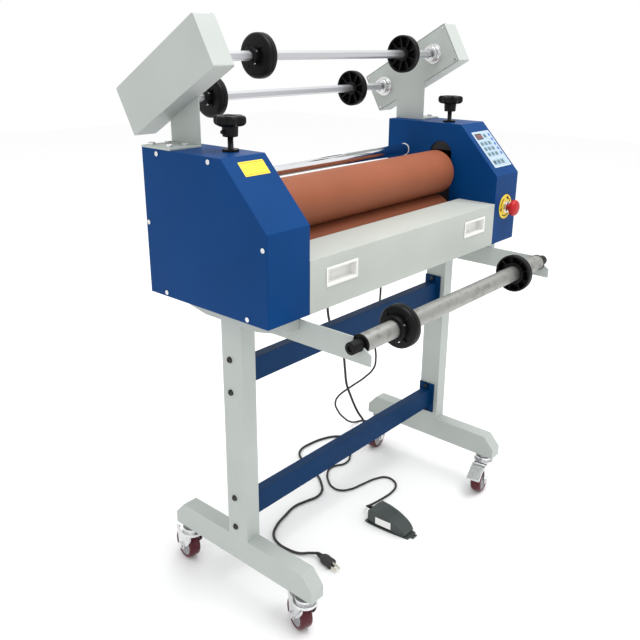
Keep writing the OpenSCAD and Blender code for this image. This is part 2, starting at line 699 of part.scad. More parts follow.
module unwind_shaft(offset) {
    y = shaft_at(offset)[0];
    z = shaft_at(offset)[1];
    rod_x(-hex_half, y, z, hex_r, 2 * hex_half, $fn = 6);
    both_sides() {
        rod_x(hex_half - 1, y, z, shaft_round_r, head_x + 31 - hex_half);
        rod_x(head_x + 8, y, z, 13, 8);
    }
}

module unwind_shaft_front() on_stand() color(steel) unwind_shaft(front_offset);
module unwind_shaft_rear() on_stand() color(steel) unwind_shaft(rear_offset);

// flanged hubs that carry the shaft ends
module shaft_hubs() on_stand() color(bright) both_sides() for (offset = [front_offset, rear_offset])
    difference() {
        union() {
            rod_x(head_x - 4, shaft_at(offset)[0], shaft_at(offset)[1], hub_flange_r, 4);
            rod_x(head_x - hub_long, shaft_at(offset)[0], shaft_at(offset)[1], hub_nut_r, hub_long - 3);
        }
        rod_x(head_x - hub_long - 1, shaft_at(offset)[0], shaft_at(offset)[1], shaft_round_r + run, hub_long + 2);
        rod_x(head_x - hub_long - 1, shaft_at(offset)[0], shaft_at(offset)[1], 14, 8);
    }

// ribbed cup that grips a roll's core, opening towards the middle of the machine
module ribbed_cup(d, hub_r) {
    difference() {
        translate([0, 0, -11]) cylinder(r = d / 2, h = 22);
        translate([0, 0, -7]) cylinder(r = d / 2 - 5, h = 20);
    }
    translate([0, 0, -24]) cylinder(r = hub_r, h = 32);
    for (a = [0:40:320]) rotate(a) block([hub_r - 2, -2, -8], [d / 2 - 4, 2, 6]);
}

module unwind_chuck(x, offset) on_stand() color(black)
    translate([x, shaft_at(offset)[0], shaft_at(offset)[1]]) rotate([0, x < 0 ? 90 : -90, 0]) difference() {
        ribbed_cup(chuck_d, hex_r + 7.7);
        translate([0, 0, -30]) cylinder(r = hex_r + 0.35, h = 60, $fn = 6);
    }

module unwind_chuck_fl() unwind_chuck(-chuck_front_x, front_offset);
module unwind_chuck_fr() unwind_chuck(chuck_front_x, front_offset);
module unwind_chuck_rl() unwind_chuck(-chuck_rear_x, rear_offset);
module unwind_chuck_rr() unwind_chuck(chuck_rear_x, rear_offset);

// ---------- take-up ----------
module takeup_tube() on_stand() color(bright) translate([0, tube_y, tube_z]) difference() {
    rod_x(-tube_half, 0, 0, tube_r, 2 * tube_half);
    rod_x(-tube_half - 1, 0, 0, tube_bore, 2 * tube_half + 2);
    for (a = GROOVES) rotate([-a, 0, 0]) block([-tube_half - 1, -groove_w / 2, tube_r - groove_deep],
        [tube_half + 1, groove_w / 2, tube_r + 2]);
}

// end bosses that drop into the arms' notches, with stubs that carry the tube
module tube_bosses() on_stand() color(black) both_sides() translate([0, tube_y, tube_z]) {
    rod_x(tube_half - 25, 0, 0, tube_bore - run, 26);
    rod_x(tube_half + part_gap, 0, 0, tube_r + 1, 4);
    rod_x(tube_half + 4, 0, 0, boss_r, 30);
}

module takeup_chuck(side) on_stand() color(black) translate([side * takeup_chuck_x, tube_y, tube_z]) {
    rotate([0, -side * 90, 0]) difference() {
        ribbed_cup(takeup_chuck_d, tube_r + 8);
        translate([0, 0, -30]) cylinder(r = tube_r + 0.3, h = 60);
    }
    for (a = GROOVES) rotate([-a, 0, 0]) block([-6, -groove_w / 2 + 0.6, tube_r - groove_deep + 0.5],
        [6, groove_w / 2 - 0.6, tube_r + 2]);
}

module takeup_chuck_left() takeup_chuck(-1);
module takeup_chuck_right() takeup_chuck(1);

// ---------- controls ----------
module control_panel() on_stand() color([0.45, 0.55, 0.65]) on_slope()
    translate([inner_x + 18 + panel_w / 2, -29.5 - panel_l / 2, 0]) linear_extrude(1.2)
        round_rect(panel_w, panel_l, 3);

// yellow ring, collar, barrel and the contact block behind the wall
module estop_body() on_stand() color("gold") difference() {
    union() {
        rod_y(estop_x, -half_d - 1.5, estop_z, 32.5, 1.5);
        rod_y(estop_x, -half_d - 10, estop_z, 15, 9);
        rod_y(estop_x, -half_d - 2, estop_z, 11, 26);
        block([estop_x - 19, -half_d + 23, estop_z - 19], [estop_x + 19, -half_d + 52, estop_z + 19]);
    }
    rod_y(estop_x, -half_d - 11, estop_z, 7 + run, 32);
}

module estop_button() on_stand() color("red") translate([estop_x, -half_d, estop_z]) rotate([90, 0, 0]) {
    rotate_extrude() polygon([[0, 16], [14, 16], [21, 22], [21, 29], [19, 33.5], [14, 36.2], [0, 37]]);
    translate([0, 0, -14]) cylinder(r = 7, h = 31);
}

// ---------- fasteners of the machine ----------
FLANGE_X = [inner_x + 60, inner_x + 100];
FLANGE_Y = [105, 160];

module machine_screws() on_stand() color(bright) both_sides() {
    for (p = COVER_SCREWS) {
        rod_x(outer_x, p[0], p[1], 5, 2.2);
        rod_x(outer_x - 3 * sheet, p[0], p[1], 2, 3 * sheet + 1);
    }
    for (x = FLANGE_X, y = FLANGE_Y) {
        translate([x, y, top_z - 9]) cylinder(r = 4, h = 14);
        translate([x, y, top_z + head_sheet]) cylinder(r = 7, h = 5);
        translate([x, y, top_z - 9]) cylinder(r = 7, h = 9 - sheet);
    }
    at_head_screws() {
        translate([0, 0, -1.8]) cylinder(r = 3, h = 1.8);
        translate([0, 0, -0.5]) cylinder(r = 1.5, h = head_sheet + head_tab + 0.5);
    }
    for (s = [0, 1]) {
        rod_x(leg_in - arm_thick - 4, -60 - 70 * s, base_height - 16, 6, 4);
        rod_x(leg_in - arm_thick - 1, -60 - 70 * s, base_height - 16, 3, 9);
    }
}

// ---------- foot pedal ----------
module at_pedal() translate([pedal_x, 0, 0]) children();
pedal_half = pedal_w / 2;
pedal_toe = pedal_half - 12 * pow(109 / pedal_l, 2);
// half width of the pedal at a distance from its back, narrowing to the toe
function pedal_side(back, inset) = pedal_half - inset - 12 * pow(back / pedal_l, 2);
// plan of the pedal, drawn inwards by an inset
function pedal_plan(inset) = concat(
    [for (d = [0:16:pedal_l]) [-pedal_side(d, inset), pedal_back - d]],
    [for (d = [pedal_l:-16:0]) [pedal_side(d, inset), pedal_back - d]]);
// treadle outline in Y and Z, from its open back over the roof to the front edge
TREADLE_TOP = [
    [pedal_back - 30 + 24, 43], [pedal_back - 35, 42.4], [pedal_back - 60, 39], [pedal_back - 74, 36],
    [pedal_back - 96, 29], [pedal_back - 110, 21], [pedal_back - 117, 13], [pedal_back - 119, 8]
];

module pedal_base() at_pedal() color([0.22, 0.25, 0.25]) {
    difference() {
        union() {
            linear_extrude(4) polygon(pedal_plan(0));
            block([-7, pedal_back - pedal_l - 9, 0], [12, pedal_back - pedal_l + 2, 4]);
            block([-pedal_half + 2, pedal_back - 2, 0], [-pedal_half + 14, pedal_back + 8, 4]);
        }
        translate([2.5, pedal_back - pedal_l - 4, -1]) cylinder(r = 2.5, h = 8);
    }
    block([-pedal_half + 4, pedal_back - 2.5, 3], [pedal_half - 4, pedal_back, 38]);
    intersection() {
        along_x(-pedal_half, pedal_w) polygon([
            [pedal_back - 2, 3], [pedal_back - 2, 22], [pedal_back - 66, 19], [pedal_back - 92, 10],
            [pedal_back - 112, 13], [pedal_back - 114, 3]
        ]);
        linear_extrude(30) difference() {
            polygon(pedal_plan(6));
            polygon(pedal_plan(8));
        }
    }
    rod_x(-pedal_toe + 0.2, pedal_pin_y, pedal_pin_z, 3, 2 * pedal_toe - 0.4);
    block([-8, pedal_back - 60, 3], [8, pedal_back - 30, 17]);
}

// treadle shell, hinged on the front pin
module pedal_treadle() at_pedal() color([0.25, 0.29, 0.28]) difference() {
    intersection() {
        along_x(-pedal_half, pedal_w) polygon(concat(TREADLE_TOP, [
            [pedal_back - 112, 4.6], [pedal_back - 100, 5], [pedal_back - 6, 13]
        ]));
        linear_extrude(60) polygon(pedal_plan(0));
    }
    intersection() {
        along_x(-pedal_half, pedal_w) polygon([
            [pedal_back + 1, 40], [pedal_back - 35, 39.4], [pedal_back - 60, 36], [pedal_back - 74, 33],
            [pedal_back - 95, 26], [pedal_back - 108, 18.5], [pedal_back - 113, 13], [pedal_back - 115, 3],
            [pedal_back + 1, 3]
        ]);
        translate([0, 0, -1]) linear_extrude(60) polygon(concat([[-pedal_half + 2.5, pedal_back + 2]],
            pedal_plan(2.5), [[pedal_half - 2.5, pedal_back + 2]]));
    }
    rod_x(-pedal_half - 1, pedal_pin_y, pedal_pin_z, 3 + run, pedal_w + 2);
}

// ---------- cords ----------
function unit(v) = v / norm(v);
function heading(p, i) = unit(p[min(i + 1, len(p) - 1)] - p[max(i - 1, 0)]);
function carried(p, i) = i == 0 ? unit(cross(heading(p, 0), [0, 1, 0]))
    : let (t = heading(p, i), u = carried(p, i - 1)) unit(u - t * (t * u));

// tube of radius r along the points p
module tube_along(p, r) {
    n = len(p);
    points = [for (i = [0:n - 1]) let (t = heading(p, i), u = carried(p, i), v = cross(t, u))
        for (k = [0:CORD_SIDES - 1]) let (a = 360 * k / CORD_SIDES) p[i] + r * (cos(a) * u + sin(a) * v)];
    sides = [for (i = [0:n - 2], k = [0:CORD_SIDES - 1]) let (a = i * CORD_SIDES, m = (k + 1) % CORD_SIDES)
        [a + k, a + m, a + CORD_SIDES + m, a + CORD_SIDES + k]];
    first = [for (k = [CORD_SIDES - 1:-1:0]) k];
    last = [for (k = [0:CORD_SIDES - 1]) (n - 1) * CORD_SIDES + k];
    polyhedron(points, [for (f = concat([first], sides, [last])) [for (j = [len(f) - 1:-1:0]) f[j]]]);
}

module mains_cord() color(black) tube_along(MAINS_ROUTE, mains_d / 2);
module pedal_cord() color(black) tube_along(PEDAL_ROUTE, pedal_lead_d / 2);

// glands under the machine and at the pedal, each with its tapered strain relief
module cord_glands() color(black) {
    for (p = [MAINS_ROUTE[0], PEDAL_ROUTE[0]]) {
        translate([p[0], p[1], p[2] + 35]) cylinder(r = 11, h = base_height - p[2] - 35);
        translate(p) cylinder(r1 = 4.2, r2 = 8, h = 36);
    }
    translate([pedal_x + 2.5, pedal_back, pedal_cord_z]) rotate([-90, 0, 0]) cylinder(r1 = 7, r2 = 3.6, h = 20);
}

// moulded three-pin plug at the end of the mains lead
module plug() color(black) translate(MAINS_ROUTE[len(MAINS_ROUTE) - 1]) rotate([0, 0, 262]) {
    rotate([0, 90, 0]) cylinder(r1 = 4.2, r2 = 8, h = 21);
    along_x(20, 38) round_rect(25, 21, 6);
    for (s = [-1, 1]) block([57, s * 6.3 - 0.75, -6], [80, s * 6.3 + 0.75, 0.5]);
    translate([57, 0, 5.5]) rotate([0, 90, 0]) cylinder(r = 2.4, h = 23);
}

foot_beams();
leg_frames();
crossbeams();
stand_bolts();
front_arms();
caster_stems();
caster_fork_fl();
caster_fork_fr();
caster_fork_rl();
caster_fork_rr();
caster_wheel_fl();
caster_wheel_fr();
caster_wheel_rl();
caster_wheel_rr();
brake_lever_fl();
brake_lever_fr();
side_frames();
housing_left();
housing_right();
side_covers();
machine_screws();
base_pan();
feed_table();
table_handles();
bottom_roller_core();
bottom_roller_sleeve();
top_roller_core();
top_roller_sleeve();
bottom_bearings();
bearing_blocks();
knob_left();
knob_right();
knob_collars();
drive_gear();
motor_pinion();
gearmotor();
guide_bar();
guide_bushes();
head_plates();
head_covers();
unwind_shaft_front();
unwind_shaft_rear();
shaft_hubs();
unwind_chuck_fl();
unwind_chuck_fr();
unwind_chuck_rl();
unwind_chuck_rr();
takeup_tube();
tube_bosses();
takeup_chuck_left();
takeup_chuck_right();
control_panel();
estop_body();
estop_button();
pedal_base();
pedal_treadle();
mains_cord();
pedal_cord();
cord_glands();
plug();
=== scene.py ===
"""Looks of the cold roll laminator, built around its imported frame."""

import json
import logging
import math
from collections.abc import Sequence
from dataclasses import dataclass, field
from enum import Enum

import bmesh
import bpy
from mathutils import Matrix, Vector

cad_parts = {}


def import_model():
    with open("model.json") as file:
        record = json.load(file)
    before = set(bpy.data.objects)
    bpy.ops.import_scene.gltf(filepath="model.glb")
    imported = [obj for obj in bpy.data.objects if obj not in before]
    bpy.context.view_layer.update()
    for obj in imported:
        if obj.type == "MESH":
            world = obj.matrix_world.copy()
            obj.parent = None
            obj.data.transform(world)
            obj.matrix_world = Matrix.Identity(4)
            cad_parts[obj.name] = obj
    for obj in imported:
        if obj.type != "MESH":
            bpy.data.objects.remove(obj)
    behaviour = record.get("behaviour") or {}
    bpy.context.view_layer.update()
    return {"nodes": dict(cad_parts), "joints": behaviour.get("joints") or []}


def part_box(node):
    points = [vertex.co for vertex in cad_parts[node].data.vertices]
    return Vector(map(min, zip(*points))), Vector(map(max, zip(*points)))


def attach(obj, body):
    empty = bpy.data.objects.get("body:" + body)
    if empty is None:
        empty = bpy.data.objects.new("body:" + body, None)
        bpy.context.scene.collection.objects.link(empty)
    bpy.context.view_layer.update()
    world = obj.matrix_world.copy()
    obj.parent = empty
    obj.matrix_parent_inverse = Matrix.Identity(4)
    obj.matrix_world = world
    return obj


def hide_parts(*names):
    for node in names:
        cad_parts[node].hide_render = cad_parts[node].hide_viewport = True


LOG = logging.getLogger("laminator")
MM = 0.001
SIDES = {"left": -1, "right": 1}
CASTERS = ("fl", "fr", "rl", "rr")

Point = Sequence[float]
Colour = tuple[float, float, float]


class Axis(Enum):
    """Direction of the middle line of a turned piece."""

    X = 0
    Y = 1
    Z = 2


# ---------------------------------------------------------------- shader groups


class Effects:
    """Node groups that several finishes share, each built once."""

    _made: dict[str, bpy.types.NodeTree] = {}

    @classmethod
    def _start(cls, name: str, inputs: Sequence[tuple[str, str, object]], output: tuple[str, str]):
        """Make an empty group with its sockets.

        Args:
            name: name of the group.
            inputs: name, socket type and default of each input.
            output: name and socket type of the output.

        Returns:
            The group, its input node and its output node.
        """
        group = bpy.data.node_groups.new(name, "ShaderNodeTree")
        for label, kind, value in inputs:
            socket = group.interface.new_socket(name=label, in_out="INPUT", socket_type=kind)
            socket.default_value = value
        group.interface.new_socket(name=output[0], in_out="OUTPUT", socket_type=output[1])
        cls._made[name] = group
        return group, group.nodes.new("NodeGroupInput"), group.nodes.new("NodeGroupOutput")

    @staticmethod
    def _noise(group: bpy.types.NodeTree, scale_from, detail: float, stretch: Point = (1, 1, 1)):
        """Add noise over object coordinates.

        Args:
            group: tree to add to.
            scale_from: socket that gives the scale.
            detail: octaves of the noise.
            stretch: scale of each axis before the noise.

        Returns:
            The noise node's value socket.
        """
        place = group.nodes.new("ShaderNodeTexCoord")
        mapping = group.nodes.new("ShaderNodeMapping")
        mapping.inputs["Scale"].default_value = stretch
        noise = group.nodes.new("ShaderNodeTexNoise")
        noise.inputs["Detail"].default_value = detail
        group.links.new(place.outputs["Object"], mapping.inputs["Vector"])
        group.links.new(mapping.outputs["Vector"], noise.inputs["Vector"])
        group.links.new(scale_from, noise.inputs["Scale"])
        return noise.outputs["Fac"]

    @classmethod
    def grain(cls) -> bpy.types.NodeTree:
        """Fine height pattern of powder coat, silicone or moulded plastic."""
        if "grain" in cls._made:
            return cls._made["grain"]
        group, start, end = cls._start(
            "grain", [("Scale", "NodeSocketFloat", 900.0)], ("Height", "NodeSocketFloat")
        )
        group.links.new(cls._noise(group, start.outputs["Scale"], 2.0), end.inputs["Height"])
        return group

    @classmethod
    def drift(cls) -> bpy.types.NodeTree:
        """Slow change of a colour over a surface."""
        if "drift" in cls._made:
            return cls._made["drift"]
        inputs = [
            ("Colour", "NodeSocketColor", (1, 1, 1, 1)),
            ("Scale", "NodeSocketFloat", 6.0),
            ("Amount", "NodeSocketFloat", 0.05),
        ]
        group, start, end = cls._start("drift", inputs, ("Colour", "NodeSocketColor"))
        level = group.nodes.new("ShaderNodeMapRange")
        level.inputs["From Min"].default_value = 0.3
        level.inputs["From Max"].default_value = 0.7
        group.links.new(cls._noise(group, start.outputs["Scale"], 4.0), level.inputs["Value"])
        low = group.nodes.new("ShaderNodeMath")
        low.operation = "SUBTRACT"
        low.inputs[0].default_value = 1.0
        group.links.new(start.outputs["Amount"], low.inputs[1])
        group.links.new(low.outputs[0], level.inputs["To Min"])
        high = group.nodes.new("ShaderNodeMath")
        high.operation = "ADD"
        high.inputs[0].default_value = 1.0
        group.links.new(start.outputs["Amount"], high.inputs[1])
        group.links.new(high.outputs[0], level.inputs["To Max"])
        scale = group.nodes.new("ShaderNodeVectorMath")
        scale.operation = "SCALE"
        group.links.new(start.outputs["Colour"], scale.inputs[0])
        group.links.new(level.outputs["Result"], scale.inputs["Scale"])
        group.links.new(scale.outputs["Vector"], end.inputs["Colour"])
        return group

    @classmethod
    def scuffs(cls) -> bpy.types.NodeTree:
        """Mask of worn patches."""
        if "scuffs" in cls._made:
            return cls._made["scuffs"]
        inputs = [("Scale", "NodeSocketFloat", 30.0), ("Cover", "NodeSocketFloat", 0.3)]
        group, start, end = cls._start("scuffs", inputs, ("Mask", "NodeSocketFloat"))
        spots = group.nodes.new("ShaderNodeMapRange")
        spots.inputs["From Min"].default_value = 0.52
        spots.inputs["From Max"].default_value = 0.68
        group.links.new(cls._noise(group, start.outputs["Scale"], 8.0), spots.inputs["Value"])
        scaled = group.nodes.new("ShaderNodeMath")
        scaled.operation = "MULTIPLY"
        group.links.new(spots.outputs["Result"], scaled.inputs[0])
        group.links.new(start.outputs["Cover"], scaled.inputs[1])
        group.links.new(scaled.outputs[0], end.inputs["Mask"])
        return group

    @classmethod
    def lay(cls, axis: Axis) -> bpy.types.NodeTree:
        """Height of fine lines left by drawing along an axis.

        Args:
            axis: direction that the lines run along.

        Returns:
            The group.
        """
        name = f"lay_{axis.name.lower()}"
        if name in cls._made:
            return cls._made[name]
        group, start, end = cls._start(
            name, [("Scale", "NodeSocketFloat", 400.0)], ("Height", "NodeSocketFloat")
        )
        stretch = [1.0, 1.0, 1.0]
        stretch[axis.value] = 0.02
        group.links.new(cls._noise(group, start.outputs["Scale"], 3.0, stretch), end.inputs["Height"])
        return group


# ---------------------------------------------------------------- finishes


@dataclass(frozen=True)
class Finish:
    """Base of every finish: colour, gloss and the fine grain of the surface."""

    name: str
    slot: str
    colour: Colour
    roughness: float = 0.5
    metallic: float = 0.0
    coat: float = 0.0
    grain_scale: float = 900.0
    grain_depth: float = 0.00006
    drift: float = 0.04
    drift_scale: float = 6.0
    rough_span: float = 0.08
    specular: float = 0.5

    def _bump_source(self, tree: bpy.types.NodeTree):
        """Return the socket that gives the height of the surface's grain."""
        grain = tree.nodes.new("ShaderNodeGroup")
        grain.node_tree = Effects.grain()
        grain.inputs["Scale"].default_value = self.grain_scale
        return grain.outputs["Height"]

    def _colour_source(self, tree: bpy.types.NodeTree):
        """Return the socket that gives the colour with its slow drift."""
        drift = tree.nodes.new("ShaderNodeGroup")
        drift.node_tree = Effects.drift()
        drift.inputs["Colour"].default_value = (*self.colour, 1.0)
        drift.inputs["Scale"].default_value = self.drift_scale
        drift.inputs["Amount"].default_value = self.drift
        return drift.outputs["Colour"]

    def _roughness_source(self, tree: bpy.types.NodeTree, height):
        """Return the socket that gives the roughness, changed a little by the grain.

        Args:
            tree: material's tree.
            height: socket of the grain's height.

        Returns:
            The roughness socket.
        """
        span = tree.nodes.new("ShaderNodeMapRange")
        span.inputs["From Min"].default_value = 0.3
        span.inputs["From Max"].default_value = 0.7
        span.inputs["To Min"].default_value = max(0.02, self.roughness - self.rough_span)
        span.inputs["To Max"].default_value = min(1.0, self.roughness + self.rough_span)
        tree.links.new(height, span.inputs["Value"])
        return span.outputs["Result"]

    def material(self) -> bpy.types.Material:
        """Build the material once and return it."""
        found = bpy.data.materials.get(self.name)
        if found:
            return found
        made = bpy.data.materials.new(self.name)
        made.use_nodes = True
        tree = made.node_tree
        shader = tree.nodes["Principled BSDF"]
        height = self._bump_source(tree)
        tree.links.new(self._colour_source(tree), shader.inputs["Base Color"])
        tree.links.new(self._roughness_source(tree, height), shader.inputs["Roughness"])
        shader.inputs["Metallic"].default_value = self.metallic
        shader.inputs["Specular IOR Level"].default_value = self.specular
        shader.inputs["Coat Weight"].default_value = self.coat
        shader.inputs["Coat Roughness"].default_value = 0.08
        bump = tree.nodes.new("ShaderNodeBump")
        bump.inputs["Distance"].default_value = self.grain_depth
        tree.links.new(height, bump.inputs["Height"])
        tree.links.new(bump.outputs["Normal"], shader.inputs["Normal"])
        self._extra(tree, shader)
        return made

    def _extra(self, tree: bpy.types.NodeTree, shader: bpy.types.Node) -> None:
        """Add what only this finish has; the base adds nothing."""


@dataclass(frozen=True)
class PowderCoat(Finish):
    """Baked paint with a fine orange peel."""

    roughness: float = 0.38
    coat: float = 0.12
    grain_scale: float = 420.0
    grain_depth: float = 0.00012


@dataclass(frozen=True)
class DrawnMetal(Finish):
    """Metal with fine lines along one axis and worn patches."""

    metallic: float = 1.0
    roughness: float = 0.3
    axis: Axis = Axis.X
    wear: float = 0.25
    wear_scale: float = 40.0
    wear_colour: Colour = (0.35, 0.35, 0.36)

    def _bump_source(self, tree: bpy.types.NodeTree):
        """Return the height of the drawn lines."""
        lines = tree.nodes.new("ShaderNodeGroup")
        lines.node_tree = Effects.lay(self.axis)
        lines.inputs["Scale"].default_value = self.grain_scale
        return lines.outputs["Height"]

    def _colour_source(self, tree: bpy.types.NodeTree):
        """Return the metal's colour with darker scuffs."""
        scuffs = tree.nodes.new("ShaderNodeGroup")
        scuffs.node_tree = Effects.scuffs()
        scuffs.inputs["Scale"].default_value = self.wear_scale
        scuffs.inputs["Cover"].default_value = self.wear
        mix = tree.nodes.new("ShaderNodeMix")
        mix.data_type = "RGBA"
        tree.links.new(scuffs.outputs["Mask"], mix.inputs[0])
        tree.links.new(super()._colour_source(tree), mix.inputs[6])
        mix.inputs[7].default_value = (*self.wear_colour, 1.0)
        return mix.outputs[2]


@dataclass(frozen=True)
class Moulding(Finish):
    """Moulded plastic with a light spark texture."""

    roughness: float = 0.42
    grain_scale: float = 1200.0
    grain_depth: float = 0.00005
    drift: float = 0.02


@dataclass(frozen=True)
class Rubber(Finish):
    """Matte silicone, polyurethane or sheath with a faint slow change of tone."""

    roughness: float = 0.6
    grain_scale: float = 1500.0
    grain_depth: float = 0.00004
    drift: float = 0.06


class Palette:
    """Every finish of the machine."""

    GREY = PowderCoat("grey_powder_coat", "stand_paint", (0.42, 0.455, 0.43), roughness=0.46, coat=0.0)
    TABLE = PowderCoat("table_powder_coat", "table_paint", (0.46, 0.49, 0.455), roughness=0.46, coat=0.0)
    BLUE = PowderCoat("blue_powder_coat", "blue_paint", (0.0005, 0.042, 0.165), drift=0.07, roughness=0.46, coat=0.0,
                      specular=0.08)
    BEAM_BLUE = PowderCoat("beam_powder_coat", "blue_beam_paint", (0.001, 0.03, 0.1), drift=0.1, roughness=0.46,
                           coat=0.0, specular=0.08)
    SILICONE = Rubber("roller_silicone", "silicone", (0.27, 0.084, 0.04), drift_scale=9.0, specular=0.2)
    CHROME = DrawnMetal("polished_bar", "polished_chrome", (0.82, 0.83, 0.85), roughness=0.12,
                        rough_span=0.05, grain_depth=0.00001, wear=0.05)
    PLATED = DrawnMetal("plated_steel", "bright_zinc", (0.74, 0.74, 0.75), roughness=0.22, axis=Axis.Z)
    STEEL = DrawnMetal("machined_steel", "machined_steel", (0.14, 0.145, 0.15), roughness=0.3)
    # painted shade: machined steel darkened about sevenfold, base colour and worn patches alike, so that the side
    # frames look as dark as the shade inside the housings
    SHADE_DARKENED_STEEL = DrawnMetal("steel_with_painted_shade", "machined_steel", (0.02, 0.02, 0.022), roughness=0.5, metallic=0.4,
                            wear=0.1, wear_colour=(0.05, 0.05, 0.05))
    ALUMINIUM = DrawnMetal("scuffed_aluminium", "tube_aluminium", (0.36, 0.36, 0.345), roughness=0.5,
                           wear=0.6, wear_scale=60.0, wear_colour=(0.2, 0.195, 0.185))
    OXIDE = DrawnMetal("black_oxide", "black_oxide", (0.02, 0.02, 0.022), roughness=0.4, metallic=0.3,
                       wear=0.1, wear_colour=(0.06, 0.06, 0.06))
    BLACK = Moulding("black_moulding", "black_plastic", (0.0035, 0.0035, 0.004), specular=0.16)
    WHITE = Moulding("white_moulding", "white_plastic", (0.82, 0.82, 0.80), roughness=0.35)
    FILM = Moulding("panel_film", "panel_film", (0.05, 0.105, 0.14), roughness=0.4, specular=0.2)
    FILM_WHITE = Moulding("panel_print", "panel_film", (0.62, 0.68, 0.70), roughness=0.35)
    FILM_KEY = Moulding("panel_key", "panel_film", (0.13, 0.21, 0.25), roughness=0.4, specular=0.2)
    FILM_BLUE = Moulding("panel_key_blue", "panel_film", (0.03, 0.13, 0.45), roughness=0.3)
    DISPLAY = Moulding("display_window", "panel_film", (0.10, 0.008, 0.008), roughness=0.12, coat=0.6)
    YELLOW = Moulding("yellow_plate", "stop_yellow", (0.86, 0.62, 0.02), roughness=0.4)
    RED = Moulding("red_button", "stop_red", (0.46, 0.01, 0.012), roughness=0.35, specular=0.3)
    CAST = PowderCoat("pedal_hammered_paint", "pedal_casting", (0.034, 0.046, 0.043), roughness=0.45, coat=0.0,
                      grain_scale=260.0, grain_depth=0.0002)
    TREAD = Rubber("wheel_polyurethane", "wheel_tread", (0.075, 0.005, 0.012), roughness=0.28, specular=0.3)
    WHEEL_HUB = Moulding("wheel_hub_grey", "bright_zinc", (0.42, 0.43, 0.44), roughness=0.4)
    SHEATH = Rubber("cord_sheath", "cord_sheath", (0.006, 0.006, 0.006), roughness=0.42, specular=0.25)
    PIN_METAL = DrawnMetal("plug_pins", "bright_zinc", (0.75, 0.70, 0.58), roughness=0.25)


# ---------------------------------------------------------------- bench tools


